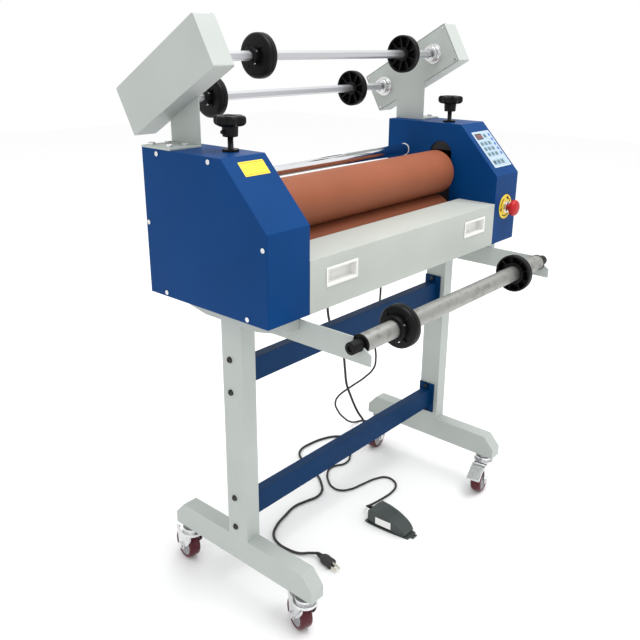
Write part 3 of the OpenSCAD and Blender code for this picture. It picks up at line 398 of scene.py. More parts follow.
class Bench:
    """Tools that turn outlines and frame nodes into finished pieces."""

    same_spot = 1e-6

    def __init__(self, nodes: dict[str, bpy.types.Object]) -> None:
        """Keep the frame's nodes.

        Args:
            nodes: CAD objects by node name.
        """
        self.nodes = nodes

    @staticmethod
    def piece(name: str, mesh: bmesh.types.BMesh, finish: Finish, body: str,
              stands_for: Sequence[str] = (), sharp: float = 32.0) -> bpy.types.Object:
        """Turn a mesh into a piece that rides on a body.

        Args:
            name: name of the piece.
            mesh: geometry in metres, in the row frame; it is freed.
            finish: finish to dress it with.
            body: CAD body that carries it.
            stands_for: CAD nodes that it replaces.
            sharp: angle in degrees above which an edge stays sharp.

        Returns:
            The new object.
        """
        bmesh.ops.recalc_face_normals(mesh, faces=mesh.faces)
        data = bpy.data.meshes.new(name)
        mesh.to_mesh(data)
        mesh.free()
        data.shade_smooth()
        data.set_sharp_from_angle(angle=math.radians(sharp))
        made = bpy.data.objects.new(name, data)
        bpy.context.scene.collection.objects.link(made)
        data.materials.append(finish.material())
        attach(made, body)
        if stands_for:
            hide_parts(*stands_for)
        LOG.info("made %s on %s", name, body)
        return made

    def dress(self, node: str, finish: Finish) -> None:
        """Give a CAD node that stays its finish."""
        data = self.nodes[node].data
        data.materials.clear()
        data.materials.append(finish.material())
        LOG.info("dressed %s", node)

    @staticmethod
    def round_edges(made: bpy.types.Object, width: float, segments: int = 2) -> bpy.types.Object:
        """Round a piece's outer edges so that they catch the light.

        Args:
            made: piece to round.
            width: width of the round in metres.
            segments: steps across the round.

        Returns:
            The same piece.
        """
        data = made.data
        edges = bmesh.new()
        edges.from_mesh(data)
        for edge in edges.edges:
            edge.smooth = True
        edges.to_mesh(data)
        edges.free()
        bevel = made.modifiers.new("edge_round", "BEVEL")
        bevel.width = width
        bevel.segments = segments
        bevel.limit_method = "ANGLE"
        bevel.angle_limit = math.radians(34)
        bevel.use_clamp_overlap = False
        bevel.harden_normals = False
        even = made.modifiers.new("even_shading", "WEIGHTED_NORMAL")
        even.mode = "FACE_AREA"
        even.weight = 95
        return made

    def softened(self, node: str, finish: Finish, body: str, width: float = 0.8 * MM,
                 segments: int = 2) -> bpy.types.Object:
        """Copy a CAD node, clean its mesh and round its edges.

        Args:
            node: CAD node that the copy replaces.
            finish: finish of the copy.
            body: body that carries it.
            width: width of the edge round.
            segments: steps across the round.

        Returns:
            The new piece.
        """
        mesh = bmesh.new()
        mesh.from_mesh(self.nodes[node].data)
        self.merge_flats(mesh)
        made = self.piece(f"{node}_shape", mesh, finish, body, [node], sharp=180.0)
        return self.round_edges(made, width, segments)

    @staticmethod
    def merge_flats(mesh: bmesh.types.BMesh) -> None:
        """Join the triangles of each flat face into as few faces as its holes allow."""
        bmesh.ops.remove_doubles(mesh, verts=mesh.verts, dist=Bench.same_spot)
        bmesh.ops.dissolve_limit(mesh, angle_limit=math.radians(0.6), verts=mesh.verts, edges=mesh.edges)

    def welded(self, name: str, nodes: Sequence[str], finish: Finish, body: str, width: float) -> None:
        """Join touching CAD nodes into one welded piece with rounded edges.

        Args:
            name: name of the piece.
            nodes: CAD nodes that it replaces.
            finish: finish of the piece.
            body: body that carries it.
            width: width of the edge round.
        """
        parts = []
        for node in nodes:
            mesh = bmesh.new()
            mesh.from_mesh(self.nodes[node].data)
            bmesh.ops.remove_doubles(mesh, verts=mesh.verts, dist=self.same_spot)
            data = bpy.data.meshes.new(f"{node}_part")
            mesh.to_mesh(data)
            mesh.free()
            part = bpy.data.objects.new(f"{node}_part", data)
            bpy.context.scene.collection.objects.link(part)
            parts.append(part)
        for other in parts[1:]:
            join = parts[0].modifiers.new("weld", "BOOLEAN")
            join.operation = "UNION"
            join.solver = "EXACT"
            join.object = other
        seen = bpy.context.evaluated_depsgraph_get()
        mesh = bmesh.new()
        mesh.from_mesh(parts[0].evaluated_get(seen).to_mesh())
        for part in parts:
            bpy.data.objects.remove(part)
        self.merge_flats(mesh)
        made = self.piece(name, mesh, finish, body, nodes, sharp=180.0)
        self.round_edges(made, width, 3)

    @staticmethod
    def turn(mesh: bmesh.types.BMesh, profile: Sequence[tuple[float, float]], centre: Point, axis: Axis,
             segments: int = 96, flip: bool = False) -> None:
        """Add a turned shape to a mesh.

        Args:
            mesh: mesh to add to.
            profile: distance along the axis and radius of each corner, as a closed loop or between
                two points on the axis.
            centre: point on the axis where the distance is zero.
            axis: direction of the axis.
            segments: steps round the axis.
            flip: True to run the distances the other way along the axis.
        """
        order = {Axis.X: (0, 1, 2), Axis.Y: (1, 2, 0), Axis.Z: (2, 0, 1)}[axis]
        sign = -1.0 if flip else 1.0
        rings = []
        for along, radius in profile:
            count = 1 if radius == 0 else segments
            ring = []
            for step in range(count):
                turn = 2 * math.pi * step / segments
                spot = [0.0, 0.0, 0.0]
                spot[order[0]] = centre[order[0]] + sign * along
                spot[order[1]] = centre[order[1]] + radius * math.cos(turn)
                spot[order[2]] = centre[order[2]] + radius * math.sin(turn)
                ring.append(mesh.verts.new(spot))
            rings.append(ring)
        closed = len(rings[0]) > 1 and len(rings[-1]) > 1
        for first, second in zip(rings, rings[1:] + (rings[:1] if closed else [])):
            Bench.bridge(mesh, first, second)

    def turned(self, name: str, profile: Sequence[tuple[float, float]], centre: Point, axis: Axis, finish: Finish,
               body: str, stands_for: Sequence[str] = (), segments: int = 96, flip: bool = False,
               sharp: float = 32.0) -> bpy.types.Object:
        """Make a piece of one turned shape; the arguments are those of turn and piece."""
        mesh = bmesh.new()
        self.turn(mesh, profile, centre, axis, segments, flip)
        return self.piece(name, mesh, finish, body, stands_for, sharp)

    @staticmethod
    def bridge(mesh: bmesh.types.BMesh, first: Sequence[bmesh.types.BMVert],
               second: Sequence[bmesh.types.BMVert]) -> None:
        """Join two rings of corners with faces, as a fan where a ring has one corner."""
        count = max(len(first), len(second))
        for step in range(count if count > 1 else 0):
            after = (step + 1) % count
            corners = [first[step % len(first)], first[after % len(first)],
                       second[after % len(second)], second[step % len(second)]]
            mesh.faces.new(list(dict.fromkeys(corners)))

    @staticmethod
    def loft(mesh: bmesh.types.BMesh, sections: Sequence[Sequence[Point]]) -> None:
        """Add a shape that runs through closed sections, with both ends closed.

        Args:
            mesh: mesh to add to.
            sections: corners of each section; all have the same number, or one for a point.
        """
        rings = [[mesh.verts.new(spot) for spot in section] for section in sections]
        for ring in (rings[0], rings[-1]):
            if len(ring) > 1:
                mesh.faces.new(ring)
        for first, second in zip(rings, rings[1:]):
            Bench.bridge(mesh, first, second)

    @staticmethod
    def prism(mesh: bmesh.types.BMesh, outline: Sequence[tuple[float, float]], low: float, high: float,
              place: Matrix) -> None:
        """Add an extruded outline.

        Args:
            mesh: mesh to add to.
            outline: corners in the local XY plane, counter-clockwise.
            low: local Z of the lower face.
            high: local Z of the upper face.
            place: matrix from local to row frame.
        """
        Bench.loft(mesh, [[place @ Vector((x, y, z)) for x, y in outline] for z in (low, high)])

    @staticmethod
    def round_rect(width: float, height: float, radius: float, steps: int = 6) -> list[tuple[float, float]]:
        """Return the outline of a rectangle with round corners, centred on zero.

        Args:
            width: size along the first direction.
            height: size along the second direction.
            radius: corner radius.
            steps: steps in each corner.

        Returns:
            Corner points, counter-clockwise.
        """
        points = []
        for corner in range(4):
            cx = (width / 2 - radius) * (1 if corner in (0, 3) else -1)
            cy = (height / 2 - radius) * (1 if corner in (0, 1) else -1)
            for step in range(steps + 1):
                turn = math.pi / 2 * (corner + step / steps)
                points.append((cx + radius * math.cos(turn), cy + radius * math.sin(turn)))
        return points


def mm(*points: Point) -> list[tuple[float, ...]]:
    """Turn points in millimetres into metres."""
    return [tuple(value * MM for value in point) for point in points]


def middle(node: str) -> Vector:
    """Return the middle of a CAD node's box."""
    low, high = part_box(node)
    return (low + high) / 2


def edge_round(along: float, radius: float, inward: float, size: float, steps: int = 4) -> list[tuple[float, float]]:
    """Return profile points that round a turned piece's corner.

    Args:
        along: distance of the end face along the axis.
        radius: outer radius.
        inward: direction from the end face into the piece, 1 or -1.
        size: radius of the round.
        steps: steps in the round.

    Returns:
        Points from the end face to the outer surface.
    """
    turns = [math.pi / 2 * step / steps for step in range(steps + 1)]
    return [(along + inward * size * (1 - math.cos(a)), radius - size * (1 - math.sin(a))) for a in turns]


def rod_profile(low: float, high: float, radius: float, size: float) -> list[tuple[float, float]]:
    """Return the closed profile of a solid rod with rounded ends.

    Args:
        low: distance of its first end.
        high: distance of its second end.
        radius: outer radius.
        size: radius of the edge round.

    Returns:
        Profile from axis to axis.
    """
    start = edge_round(low, radius, 1, size)
    end = edge_round(high, radius, -1, size)
    return [(low, 0.0), *start, *reversed(end), (high, 0.0)]


def tube_profile(low: float, high: float, radius: float, bore: float, size: float) -> list[tuple[float, float]]:
    """Return the closed loop of a bored rod with rounded outer edges.

    Args:
        low: distance of its first end.
        high: distance of its second end.
        radius: outer radius.
        bore: radius of the bore.
        size: radius of the edge round.

    Returns:
        Loop of profile points.
    """
    start = edge_round(low, radius, 1, size)
    end = edge_round(high, radius, -1, size)
    return [(low, bore), *start, *reversed(end), (high, bore)]


def relief_profile(count: int, first: float, pitch: float, radius: float, growth: float, ridge: float,
                   dips: tuple[float, float] = (0.9, 0.8)) -> list[tuple[float, float]]:
    """Return the ribbed part of a strain relief that widens along its axis.

    Args:
        count: number of ribs.
        first: start of the first rib in millimetres.
        pitch: distance from rib to rib.
        radius: radius of the first rib.
        growth: how much wider each next rib is.
        ridge: length of each rib.
        dips: depth of the groove behind a rib, and at its far end.

    Returns:
        Profile points in metres.
    """
    points = []
    for step in range(count):
        start = first + pitch * step
        rib = radius + growth * step
        points += [(start, rib), (start + ridge, rib + 0.2), (start + ridge + 0.3, rib - dips[0]),
                   (start + pitch - 0.2, rib - dips[1])]
    return mm(*points)


# ---------------------------------------------------------------- stand


@dataclass
class Stand:
    """Grey stand: feet, legs with rails, crossbeams, arms and their bolts."""

    bench: Bench
    steel_round: float = 0.8 * MM
    end_plate: float = 91 * MM
    bolt_inset: float = 7.5 * MM
    bolt_radius: float = 7 * MM
    bolt_height: float = 5 * MM

    def build(self) -> None:
        """Make every fixed piece of the stand."""
        self.bench.welded("welded_legs", ["foot_beams", "leg_frames"], Palette.GREY, "stand", self.steel_round)
        self.bench.softened("front_arms", Palette.GREY, "stand", 0.6 * MM)
        self.bench.softened("crossbeams", Palette.BEAM_BLUE, "stand", 0.8 * MM)
        self.bench.softened("base_pan", Palette.GREY, "stand", 0.4 * MM)
        self._bolts()

    def _bolts(self) -> None:
        """Make the black domed caps outside the legs."""
        mesh = bmesh.new()
        low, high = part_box("stand_bolts")
        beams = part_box("crossbeams")
        middle_y = (low.y + high.y) / 2
        half_plate = self.end_plate / 2
        offset = half_plate - self.bolt_inset
        for z in (beams[0].z + half_plate, beams[1].z - half_plate):
            for lift in (-offset, offset):
                for sign in SIDES.values():
                    centre = (sign * (high.x - self.bolt_height), middle_y, z + lift)
                    dome = [(-0.05, 0.0), (-0.05, 5 * MM), (0.0, 5 * MM), (0.0, self.bolt_radius),
                            (2 * MM, self.bolt_radius), (4 * MM, 6 * MM), (self.bolt_height, 4 * MM),
                            (self.bolt_height, 2.4 * MM), (3.2 * MM, 2.2 * MM), (3.2 * MM, 0.0)]
                    Bench.turn(mesh, dome, centre, Axis.X, 32, flip=sign < 0)
        self.bench.piece("crossbeam_bolts", mesh, Palette.OXIDE, "stand", ["stand_bolts"])


# ---------------------------------------------------------------- casters


@dataclass
class Casters:
    """Four swivel casters, the front two with brake levers."""

    bench: Bench
    joints: Sequence[dict]
    tread_depth: float = 9 * MM

    def build(self) -> None:
        """Make stems, forks, wheels and levers."""
        self.bench.softened("caster_stems", Palette.PLATED, "stand", 0.7 * MM)
        for key in CASTERS:
            self.bench.softened(f"caster_fork_{key}", Palette.PLATED, f"caster_{key}", 0.3 * MM)
            self._wheel(key)
        for key in ("fl", "fr"):
            self.bench.softened(f"brake_lever_{key}", Palette.PLATED, f"brake_{key}", 0.3 * MM)

    def _wheel(self, key: str) -> None:
        """Make one wheel's crowned tread and its ribbed hub.

        Args:
            key: which caster.
        """
        joint = next(joint for joint in self.joints if joint["name"] == f"wheel_spin_{key}")
        centre = Vector(joint["pos_m"])
        axle = Vector(joint["axis"])
        radius = centre.z
        place = Matrix.Translation(centre) @ axle.to_track_quat("Z", "Y").to_matrix().to_4x4()
        half = 15 * MM
        inner = radius - self.tread_depth
        tread = bmesh.new()
        crown = [(-half + 1 * MM, inner), (-half, inner + 1 * MM), (-half, radius - 4.5 * MM),
                 (-half + 1 * MM, radius - 2 * MM), (-half + 3 * MM, radius - 0.6 * MM), (-half + 6 * MM, radius),
                 (half - 6 * MM, radius), (half - 3 * MM, radius - 0.6 * MM), (half - 1 * MM, radius - 2 * MM),
                 (half, radius - 4.5 * MM), (half, inner + 1 * MM), (half - 1 * MM, inner)]
        Bench.turn(tread, crown, (0, 0, 0), Axis.Z, 96)
        tread.transform(place)
        self.bench.piece(f"wheel_tread_{key}", tread, Palette.TREAD, f"wheel_{key}", [f"caster_wheel_{key}"])
        hub = bmesh.new()
        loop = [(-half + 1 * MM, 5.2 * MM), (-half + 1 * MM, 11 * MM), (-half + 5 * MM, 12.5 * MM),
                (-half + 6 * MM, inner - 4 * MM), (-half + 1.5 * MM, inner - 2.5 * MM), (-half + 1.5 * MM, inner),
                (half - 1.5 * MM, inner), (half - 1.5 * MM, inner - 2.5 * MM), (half - 6 * MM, inner - 4 * MM),
                (half - 5 * MM, 12.5 * MM), (half - 1 * MM, 11 * MM), (half - 1 * MM, 5.2 * MM)]
        Bench.turn(hub, loop, (0, 0, 0), Axis.Z, 96)
        for step in range(6):
            turn = Matrix.Rotation(math.tau * step / 6, 4, "Z")
            rib = Bench.round_rect(inner - 15 * MM, 3 * MM, 1 * MM, 3)
            shift = Matrix.Translation(((inner + 10 * MM) / 2, 0, 0))
            Bench.prism(hub, rib, -half + 3 * MM, half - 3 * MM, turn @ shift)
        hub.transform(place)
        self.bench.piece(f"wheel_hub_{key}", hub, Palette.WHEEL_HUB, f"wheel_{key}")


# ---------------------------------------------------------------- housings


@dataclass
class Housings:
    """Blue side housings with covers, screws and the drive inside."""

    bench: Bench
    sheet_round: float = 0.7 * MM

    def build(self) -> None:
        """Make housings, covers and screws, and dress what is inside."""
        for side in SIDES:
            self.bench.softened(f"housing_{side}", Palette.BLUE, "stand", self.sheet_round, 3)
        self.bench.softened("side_covers", Palette.BLUE, "stand", self.sheet_round, 3)
        # painted shade: the side frames get the darkened steel that stands for the shade inside the housings
        self.bench.softened("side_frames", Palette.SHADE_DARKENED_STEEL, "stand", 0.5 * MM)
        self.bench.softened("bottom_bearings", Palette.PLATED, "stand", 0.4 * MM)
        self.bench.softened("bearing_blocks", Palette.STEEL, "nip_carriage", 0.6 * MM)
        self.bench.softened("gearmotor", Palette.STEEL, "stand", 0.8 * MM)
        self.bench.softened("drive_gear", Palette.STEEL, "bottom_roller", 0.2 * MM, 1)
        self.bench.softened("motor_pinion", Palette.STEEL, "pinion", 0.2 * MM, 1)
        self.bench.softened("machine_screws", Palette.PLATED, "stand", 0.5 * MM)


# ---------------------------------------------------------------- feed table


@dataclass
class FeedTable:
    """Lift-off table with its two recessed pulls."""

    bench: Bench

    def build(self) -> None:
        """Make the table and its pulls."""
        self.bench.softened("feed_table", Palette.TABLE, "table", 0.4 * MM, 3)
        self.bench.softened("table_handles", Palette.WHITE, "table", 0.9 * MM, 3)


# ---------------------------------------------------------------- rollers


@dataclass
class Rollers:
    """Silicone rollers, their cores and the polished guide bar."""

    bench: Bench
    sleeve_wall: float = 7 * MM
    edge: float = 1.2 * MM
    guide_flange: float = 1.5 * MM
    guide_bush: float = 10 * MM
    guide_journal: float = 6 * MM

    def build(self) -> None:
        """Make both rollers and the guide bar."""
        for place in ("bottom", "top"):
            self._sleeve(place)
            self._core(place)
        self._guide()

    def _sleeve(self, place: str) -> None:
        """Make one silicone sleeve with eased edges.

        Args:
            place: bottom or top.
        """
        node = f"{place}_roller_sleeve"
        low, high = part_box(node)
        centre = middle(node)
        radius = (high.z - low.z) / 2
        loop = tube_profile(low.x, high.x, radius, radius - self.sleeve_wall, self.edge)
        self.bench.turned(f"{place}_silicone_sleeve", loop, (0, centre.y, centre.z), Axis.X, Palette.SILICONE,
                          f"{place}_roller", [node], 160)

    def _core(self, place: str) -> None:
        """Make one steel core with its end discs and journals.

        Args:
            place: bottom or top.
        """
        node = f"{place}_roller_core"
        low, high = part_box(node)
        centre = middle(node)
        radius = (high.z - low.z) / 2 - 0.05 * MM
        journal = 15 * MM
        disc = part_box(f"{place}_roller_sleeve")[1].x - 1 * MM
        hub = journal + 6 * MM
        profile = [(low.x, 0.0), (low.x, journal - 1 * MM), (low.x + 1 * MM, journal), (-disc - 6 * MM, journal),
                   (-disc - 6 * MM, hub), (-disc, hub), (-disc, radius), (disc, radius), (disc, hub),
                   (disc + 6 * MM, hub), (disc + 6 * MM, journal), (high.x - 1 * MM, journal),
                   (high.x, journal - 1 * MM), (high.x, 0.0)]
        self.bench.turned(f"{place}_steel_core", profile, (0, centre.y, centre.z), Axis.X, Palette.STEEL,
                          f"{place}_roller", [node])

    def _guide(self) -> None:
        """Make the polished bar on its journals, and its white flanged bushes."""
        low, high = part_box("guide_bar")
        centre = middle("guide_bar")
        spot = (0, centre.y, centre.z)
        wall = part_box("housing_right")[0].x
        radius = (high.z - low.z) / 2
        shoulder = wall - self.guide_flange - 0.3 * MM
        start = [(low.x, 0.0), (low.x, self.guide_journal), (-shoulder, self.guide_journal),
                 *edge_round(-shoulder, radius, 1, 0.6 * MM)]
        profile = start + [(-along, out) for along, out in reversed(start)]
        self.bench.turned("polished_guide_bar", profile, spot, Axis.X, Palette.CHROME, "guide_roller",
                          ["guide_bar"], 128)
        low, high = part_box("guide_bushes")
        rim = (high.z - low.z) / 2
        mesh = bmesh.new()
        for sign in SIDES.values():
            loop = [(wall - self.guide_flange, self.guide_journal + 0.1 * MM),
                    *edge_round(wall - self.guide_flange, rim, 1, 0.5 * MM), (wall, rim),
                    (wall, self.guide_bush), (high.x, self.guide_bush), (high.x, self.guide_journal + 0.1 * MM)]
            Bench.turn(mesh, loop, spot, Axis.X, 64, flip=sign < 0)
        self.bench.piece("white_guide_bushes", mesh, Palette.WHITE, "stand", ["guide_bushes"])


# ---------------------------------------------------------------- pressure knobs


@dataclass
class PressureKnobs:
    """Two lobed knobs on threaded stems."""

    bench: Bench
    lobes: int = 6
    stem_radius: float = 6.1 * MM
    pitch: float = 2 * MM

    def build(self) -> None:
        """Make both knobs and their collars."""
        for side in SIDES:
            self._knob(side)
        self.bench.softened("knob_collars", Palette.BLACK, "stand", 0.8 * MM, 3)

    def _knob(self, side: str) -> None:
        """Make one knob: screw, tapered hub and star head.

        Args:
            side: left or right.
        """
        node = f"knob_{side}"
        low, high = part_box(node)
        centre = middle(node)
        foot = (centre.x, centre.y, 0)
        head_low = high.z - 20 * MM
        hub_low = head_low - 20 * MM
        screw = bmesh.new()
        profile = [(low.z, 0.0), (low.z, self.stem_radius - 1 * MM)]
        turns = int((hub_low - low.z) / self.pitch)
        for step in range(turns):
            z = low.z + self.pitch * step
            profile.append((z + self.pitch * 0.25, self.stem_radius))
            profile.append((z + self.pitch * 0.75, self.stem_radius - 0.8 * MM))
        profile.extend([(hub_low, self.stem_radius - 1 * MM), (hub_low, 0.0)])
        Bench.turn(screw, profile, foot, Axis.Z, 32)
        self.bench.piece(f"pressure_screw_{side}", screw, Palette.OXIDE, f"{side}_knob")
        hub = bmesh.new()
        Bench.turn(hub, [(hub_low, 0.0), *edge_round(hub_low, 15 * MM, 1, 2 * MM), (head_low - 1 * MM, 16 * MM),
                         (head_low + 2 * MM, 20 * MM), (head_low + 2 * MM, 0.0)], foot, Axis.Z, 64)
        Bench.turn(hub, mm((14, 0), (14, 4), (21, 4), (23, 3), (23, 0)),
                   (centre.x, centre.y, hub_low + 10 * MM), Axis.X, 24, flip=side == "left")
        self.bench.piece(f"knob_hub_{side}", hub, Palette.BLACK, f"{side}_knob")
        self._star(side, node, head_low, high)

    def _star(self, side: str, node: str, head_low: float, high: Vector) -> None:
        """Make the lobed head as stacked rings, so that its rim is round.

        Args:
            side: left or right.
            node: CAD node that the head belongs to.
            head_low: height of the head's underside.
            high: highest corner of the knob's box.
        """
        centre = middle(node)
        outer = 32.4 * MM
        deep = 8.5 * MM
        layers = [(0.0, 0.72), (0.05, 0.82), (0.16, 0.93), (0.3, 0.985), (0.45, 1.0), (0.66, 1.0), (0.8, 0.985),
                  (0.91, 0.94), (0.97, 0.88), (1.0, 0.8), (1.0, 0.42), (0.9, 0.38), (0.9, 0.0)]
        steps = 144
        star = bmesh.new()
        sections = []
        for level, share in layers:
            z = head_low + level * (high.z - head_low)
            if share == 0.0:
                sections.append([(centre.x, centre.y, z)])
                continue
            section = []
            for step in range(steps):
                turn = math.tau * step / steps
                wave = 0.5 - 0.5 * math.cos(self.lobes * turn)
                dip = deep * (wave ** 1.2) * min(1.0, max(0.0, (share - 0.42) / 0.3))
                reach = (outer - dip) * share
                section.append((centre.x + reach * math.cos(turn), centre.y + reach * math.sin(turn), z))
            sections.append(section)
        Bench.loft(star, sections)
        self.bench.piece(f"knob_star_{side}", star, Palette.BLACK, f"{side}_knob", [node], sharp=50.0)


# ---------------------------------------------------------------- chucks


@dataclass
class RibbedCup:
    """Black chuck: a cup with ribs inside it, on a hub with set screws."""

    radius: float
    hub: float
    bore: float
    ribs: int = 9
    back: float = 24 * MM

    def meshes(self, spot: Point, inward: int) -> tuple[bmesh.types.BMesh, bmesh.types.BMesh]:
        """Return the moulding and its set screws.

        Args:
            spot: middle of the chuck in the row frame.
            inward: direction along X that the cup opens to, 1 or -1.

        Returns:
            The two meshes.
        """
        mesh = bmesh.new()
        radius = self.radius
        root = self.hub - 1 * MM
        cup = [(-11 * MM, root), (-11 * MM, radius - 9 * MM), (-10.4 * MM, radius - 5.5 * MM),
               (-8.6 * MM, radius - 2.2 * MM), (-5.5 * MM, radius - 0.4 * MM), (-2 * MM, radius - 0.2 * MM),
               (-1.6 * MM, radius - 1 * MM), (-0.4 * MM, radius - 1 * MM), (0.0, radius),
               *reversed(edge_round(11 * MM, radius, -1, 2 * MM)), (11 * MM, radius - 4 * MM),
               (9.5 * MM, radius - 5 * MM), (-5 * MM, radius - 6.5 * MM), (-7 * MM, radius - 9 * MM), (-7 * MM, root)]
        Bench.turn(mesh, cup, spot, Axis.X, 96, flip=inward < 0)
        hub = [(-self.back, self.bore), *edge_round(-self.back, self.hub, 1, 1.5 * MM),
               *reversed(edge_round(8 * MM, self.hub, -1, 1.5 * MM)), (8 * MM, self.bore)]
        Bench.turn(mesh, hub, spot, Axis.X, 64, flip=inward < 0)
        web = [(root, -7.5 * MM), (radius - 6 * MM, -7.5 * MM), (radius - 5 * MM, 8 * MM), (radius - 12 * MM, 6 * MM),
               (root, 4 * MM)]
        boss = [(-14 * MM, self.hub - 2 * MM), (-14 * MM, self.hub + 7 * MM), (-10 * MM, self.hub + 11 * MM),
                (-10 * MM, self.hub - 2 * MM)]
        swap = Matrix(((0, inward, 0, 0), (1, 0, 0, 0), (0, 0, inward, 0), (0, 0, 0, 1)))
        for step in range(self.ribs):
            turn = Matrix.Rotation(math.tau * step / self.ribs, 4, "X")
            Bench.prism(mesh, web, -1.6 * MM, 1.6 * MM, Matrix.Translation(spot) @ turn @ swap)
        outside = [(radius_at, along) for along, radius_at in boss]
        for step in range(4):
            turn = Matrix.Rotation(math.tau * (step + 0.5) / 4, 4, "X")
            Bench.prism(mesh, outside, -1.6 * MM, 1.6 * MM, Matrix.Translation(spot) @ turn @ swap)
        screws = bmesh.new()
        for degrees in (60, 150):
            turn = Matrix.Rotation(math.radians(degrees), 4, "X")
            place = Matrix.Translation(Vector(spot) - Vector((inward * 18.5 * MM, 0, 0))) @ turn
            pin = Bench.round_rect(5 * MM, 5 * MM, 2.4 * MM, 5)
            Bench.prism(screws, pin, self.hub - 2 * MM, self.hub + 1.6 * MM, place)
            Bench.prism(screws, [(x * 0.5, y * 0.5) for x, y in pin], self.hub, self.hub + 2 * MM, place)
        return mesh, screws


# ---------------------------------------------------------------- unwind heads


@dataclass
class UnwindHeads:
    """Tilted heads with their hexagonal shafts, hubs and chucks."""

    bench: Bench
    cup: RibbedCup = field(default_factory=lambda: RibbedCup(45.5 * MM, 17.5 * MM, 10.3 * MM))
    plate_face: float = 395 * MM

    def build(self) -> None:
        """Make heads, shafts, hubs and chucks."""
        self.bench.softened("head_plates", Palette.GREY, "stand", 0.6 * MM, 3)
        self.bench.softened("head_covers", Palette.GREY, "stand", 0.6 * MM, 3)
        for row in ("front", "rear"):
            self.bench.softened(f"unwind_shaft_{row}", Palette.STEEL, f"{row}_shaft", 0.2 * MM)
        self._hubs()
        for key in CASTERS:
            self._chuck(key)

    def _hubs(self) -> None:
        """Make the four plated hubs with their sockets and flange screws."""
        mesh = bmesh.new()
        face = self.plate_face
        for row in ("front", "rear"):
            centre = middle(f"unwind_shaft_{row}")
            for sign in SIDES.values():
                spot = (0, centre.y, centre.z)
                loop = [(face - 20 * MM, 14 * MM), *edge_round(face - 20 * MM, 20 * MM, 1, 1.5 * MM),
                        (face - 5 * MM, 20 * MM), (face - 4 * MM, 21 * MM),
                        *edge_round(face - 4 * MM, 26 * MM, 1, 1 * MM), (face, 26 * MM), (face, 8.1 * MM),
                        (face - 12 * MM, 8.1 * MM), (face - 13 * MM, 14 * MM)]
                Bench.turn(mesh, loop, spot, Axis.X, 64, flip=sign < 0)
                for step in range(3):
                    turn = math.tau * (step + 0.5) / 3
                    screw = (0, centre.y + 23 * MM * math.cos(turn), centre.z + 23 * MM * math.sin(turn))
                    head = rod_profile(face - 5.6 * MM, face - 3.9 * MM, 2.2 * MM, 0.5 * MM)
                    Bench.turn(mesh, head, screw, Axis.X, 20, flip=sign < 0)
        self.bench.piece("plated_shaft_hubs", mesh, Palette.PLATED, "stand", ["shaft_hubs"])

    def _chuck(self, key: str) -> None:
        """Make one chuck that opens towards the middle of the machine.

        Args:
            key: front or rear, then left or right.
        """
        node = f"unwind_chuck_{key}"
        low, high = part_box(node)
        left = key[1] == "l"
        axle = middle(f"unwind_shaft_{'front' if key[0] == 'f' else 'rear'}")
        plane = low.x + self.cup.back if left else high.x - self.cup.back
        mesh, screws = self.cup.meshes((plane, axle.y, axle.z), 1 if left else -1)
        self.bench.piece(f"ribbed_chuck_{key}", mesh, Palette.BLACK, f"chuck_{key}", [node])
        self.bench.piece(f"chuck_screws_{key}", screws, Palette.PLATED, f"chuck_{key}")


# ---------------------------------------------------------------- take-up


@dataclass
class TakeUp:
    """Scuffed take-up tube with its chucks and end bosses."""

    bench: Bench
    cup: RibbedCup = field(default_factory=lambda: RibbedCup(45 * MM, 27 * MM, 19.3 * MM))
    keyways: tuple[float, float] = (35, 215)

    def build(self) -> None:
        """Make the tube, bosses and chucks."""
        self.bench.softened("takeup_tube", Palette.ALUMINIUM, "takeup_roll", 0.3 * MM)
        self._bosses()
        for side in SIDES:
            self._chuck(side)

    def _bosses(self) -> None:
        """Make the black bosses that sit in the arms."""
        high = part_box("tube_bosses")[1]
        centre = middle("tube_bosses")
        spot = (0, centre.y, centre.z)
        mesh = bmesh.new()
        ring = high.x - 30 * MM
        for sign in SIDES.values():
            profile = [(ring - 28 * MM, 0.0), (ring - 28 * MM, 15 * MM), (ring - 27 * MM, 15.9 * MM),
                       (ring - 3.7 * MM, 15.9 * MM), *edge_round(ring - 3.7 * MM, 20 * MM, 1, 0.8 * MM),
                       *reversed(edge_round(ring, 20 * MM, -1, 0.8 * MM)), (ring, 12.5 * MM),
                       *reversed(edge_round(high.x, 12.5 * MM, -1, 1.5 * MM)), (high.x, 6 * MM),
                       (high.x - 3 * MM, 5.5 * MM), (high.x - 3 * MM, 0.0)]
            Bench.turn(mesh, profile, spot, Axis.X, 64, flip=sign < 0)
        self.bench.piece("black_end_bosses", mesh, Palette.BLACK, "takeup_ends", ["tube_bosses"])

    def _chuck(self, side: str) -> None:
        """Make one take-up chuck with the teeth that ride in the tube's keyways.

        Args:
            side: left or right.
        """
        node = f"takeup_chuck_{side}"
        low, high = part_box(node)
        tube = middle("takeup_tube")
        plane = low.x + self.cup.back if side == "left" else high.x - self.cup.back
        mesh, screws = self.cup.meshes((plane, tube.y, tube.z), -SIDES[side])
        tooth = Bench.round_rect(12 * MM, 6.6 * MM, 0.6 * MM, 2)
        for degrees in self.keyways:
            turn = Matrix.Rotation(math.radians(-degrees), 4, "X")
            Bench.prism(mesh, tooth, 17.4 * MM, 21 * MM, Matrix.Translation((plane, tube.y, tube.z)) @ turn)
        self.bench.piece(f"tube_chuck_{side}", mesh, Palette.BLACK, f"takeup_chuck_{side[0]}", [node])
        self.bench.piece(f"tube_chuck_screws_{side}", screws, Palette.PLATED, f"takeup_chuck_{side[0]}")


# ---------------------------------------------------------------- controls


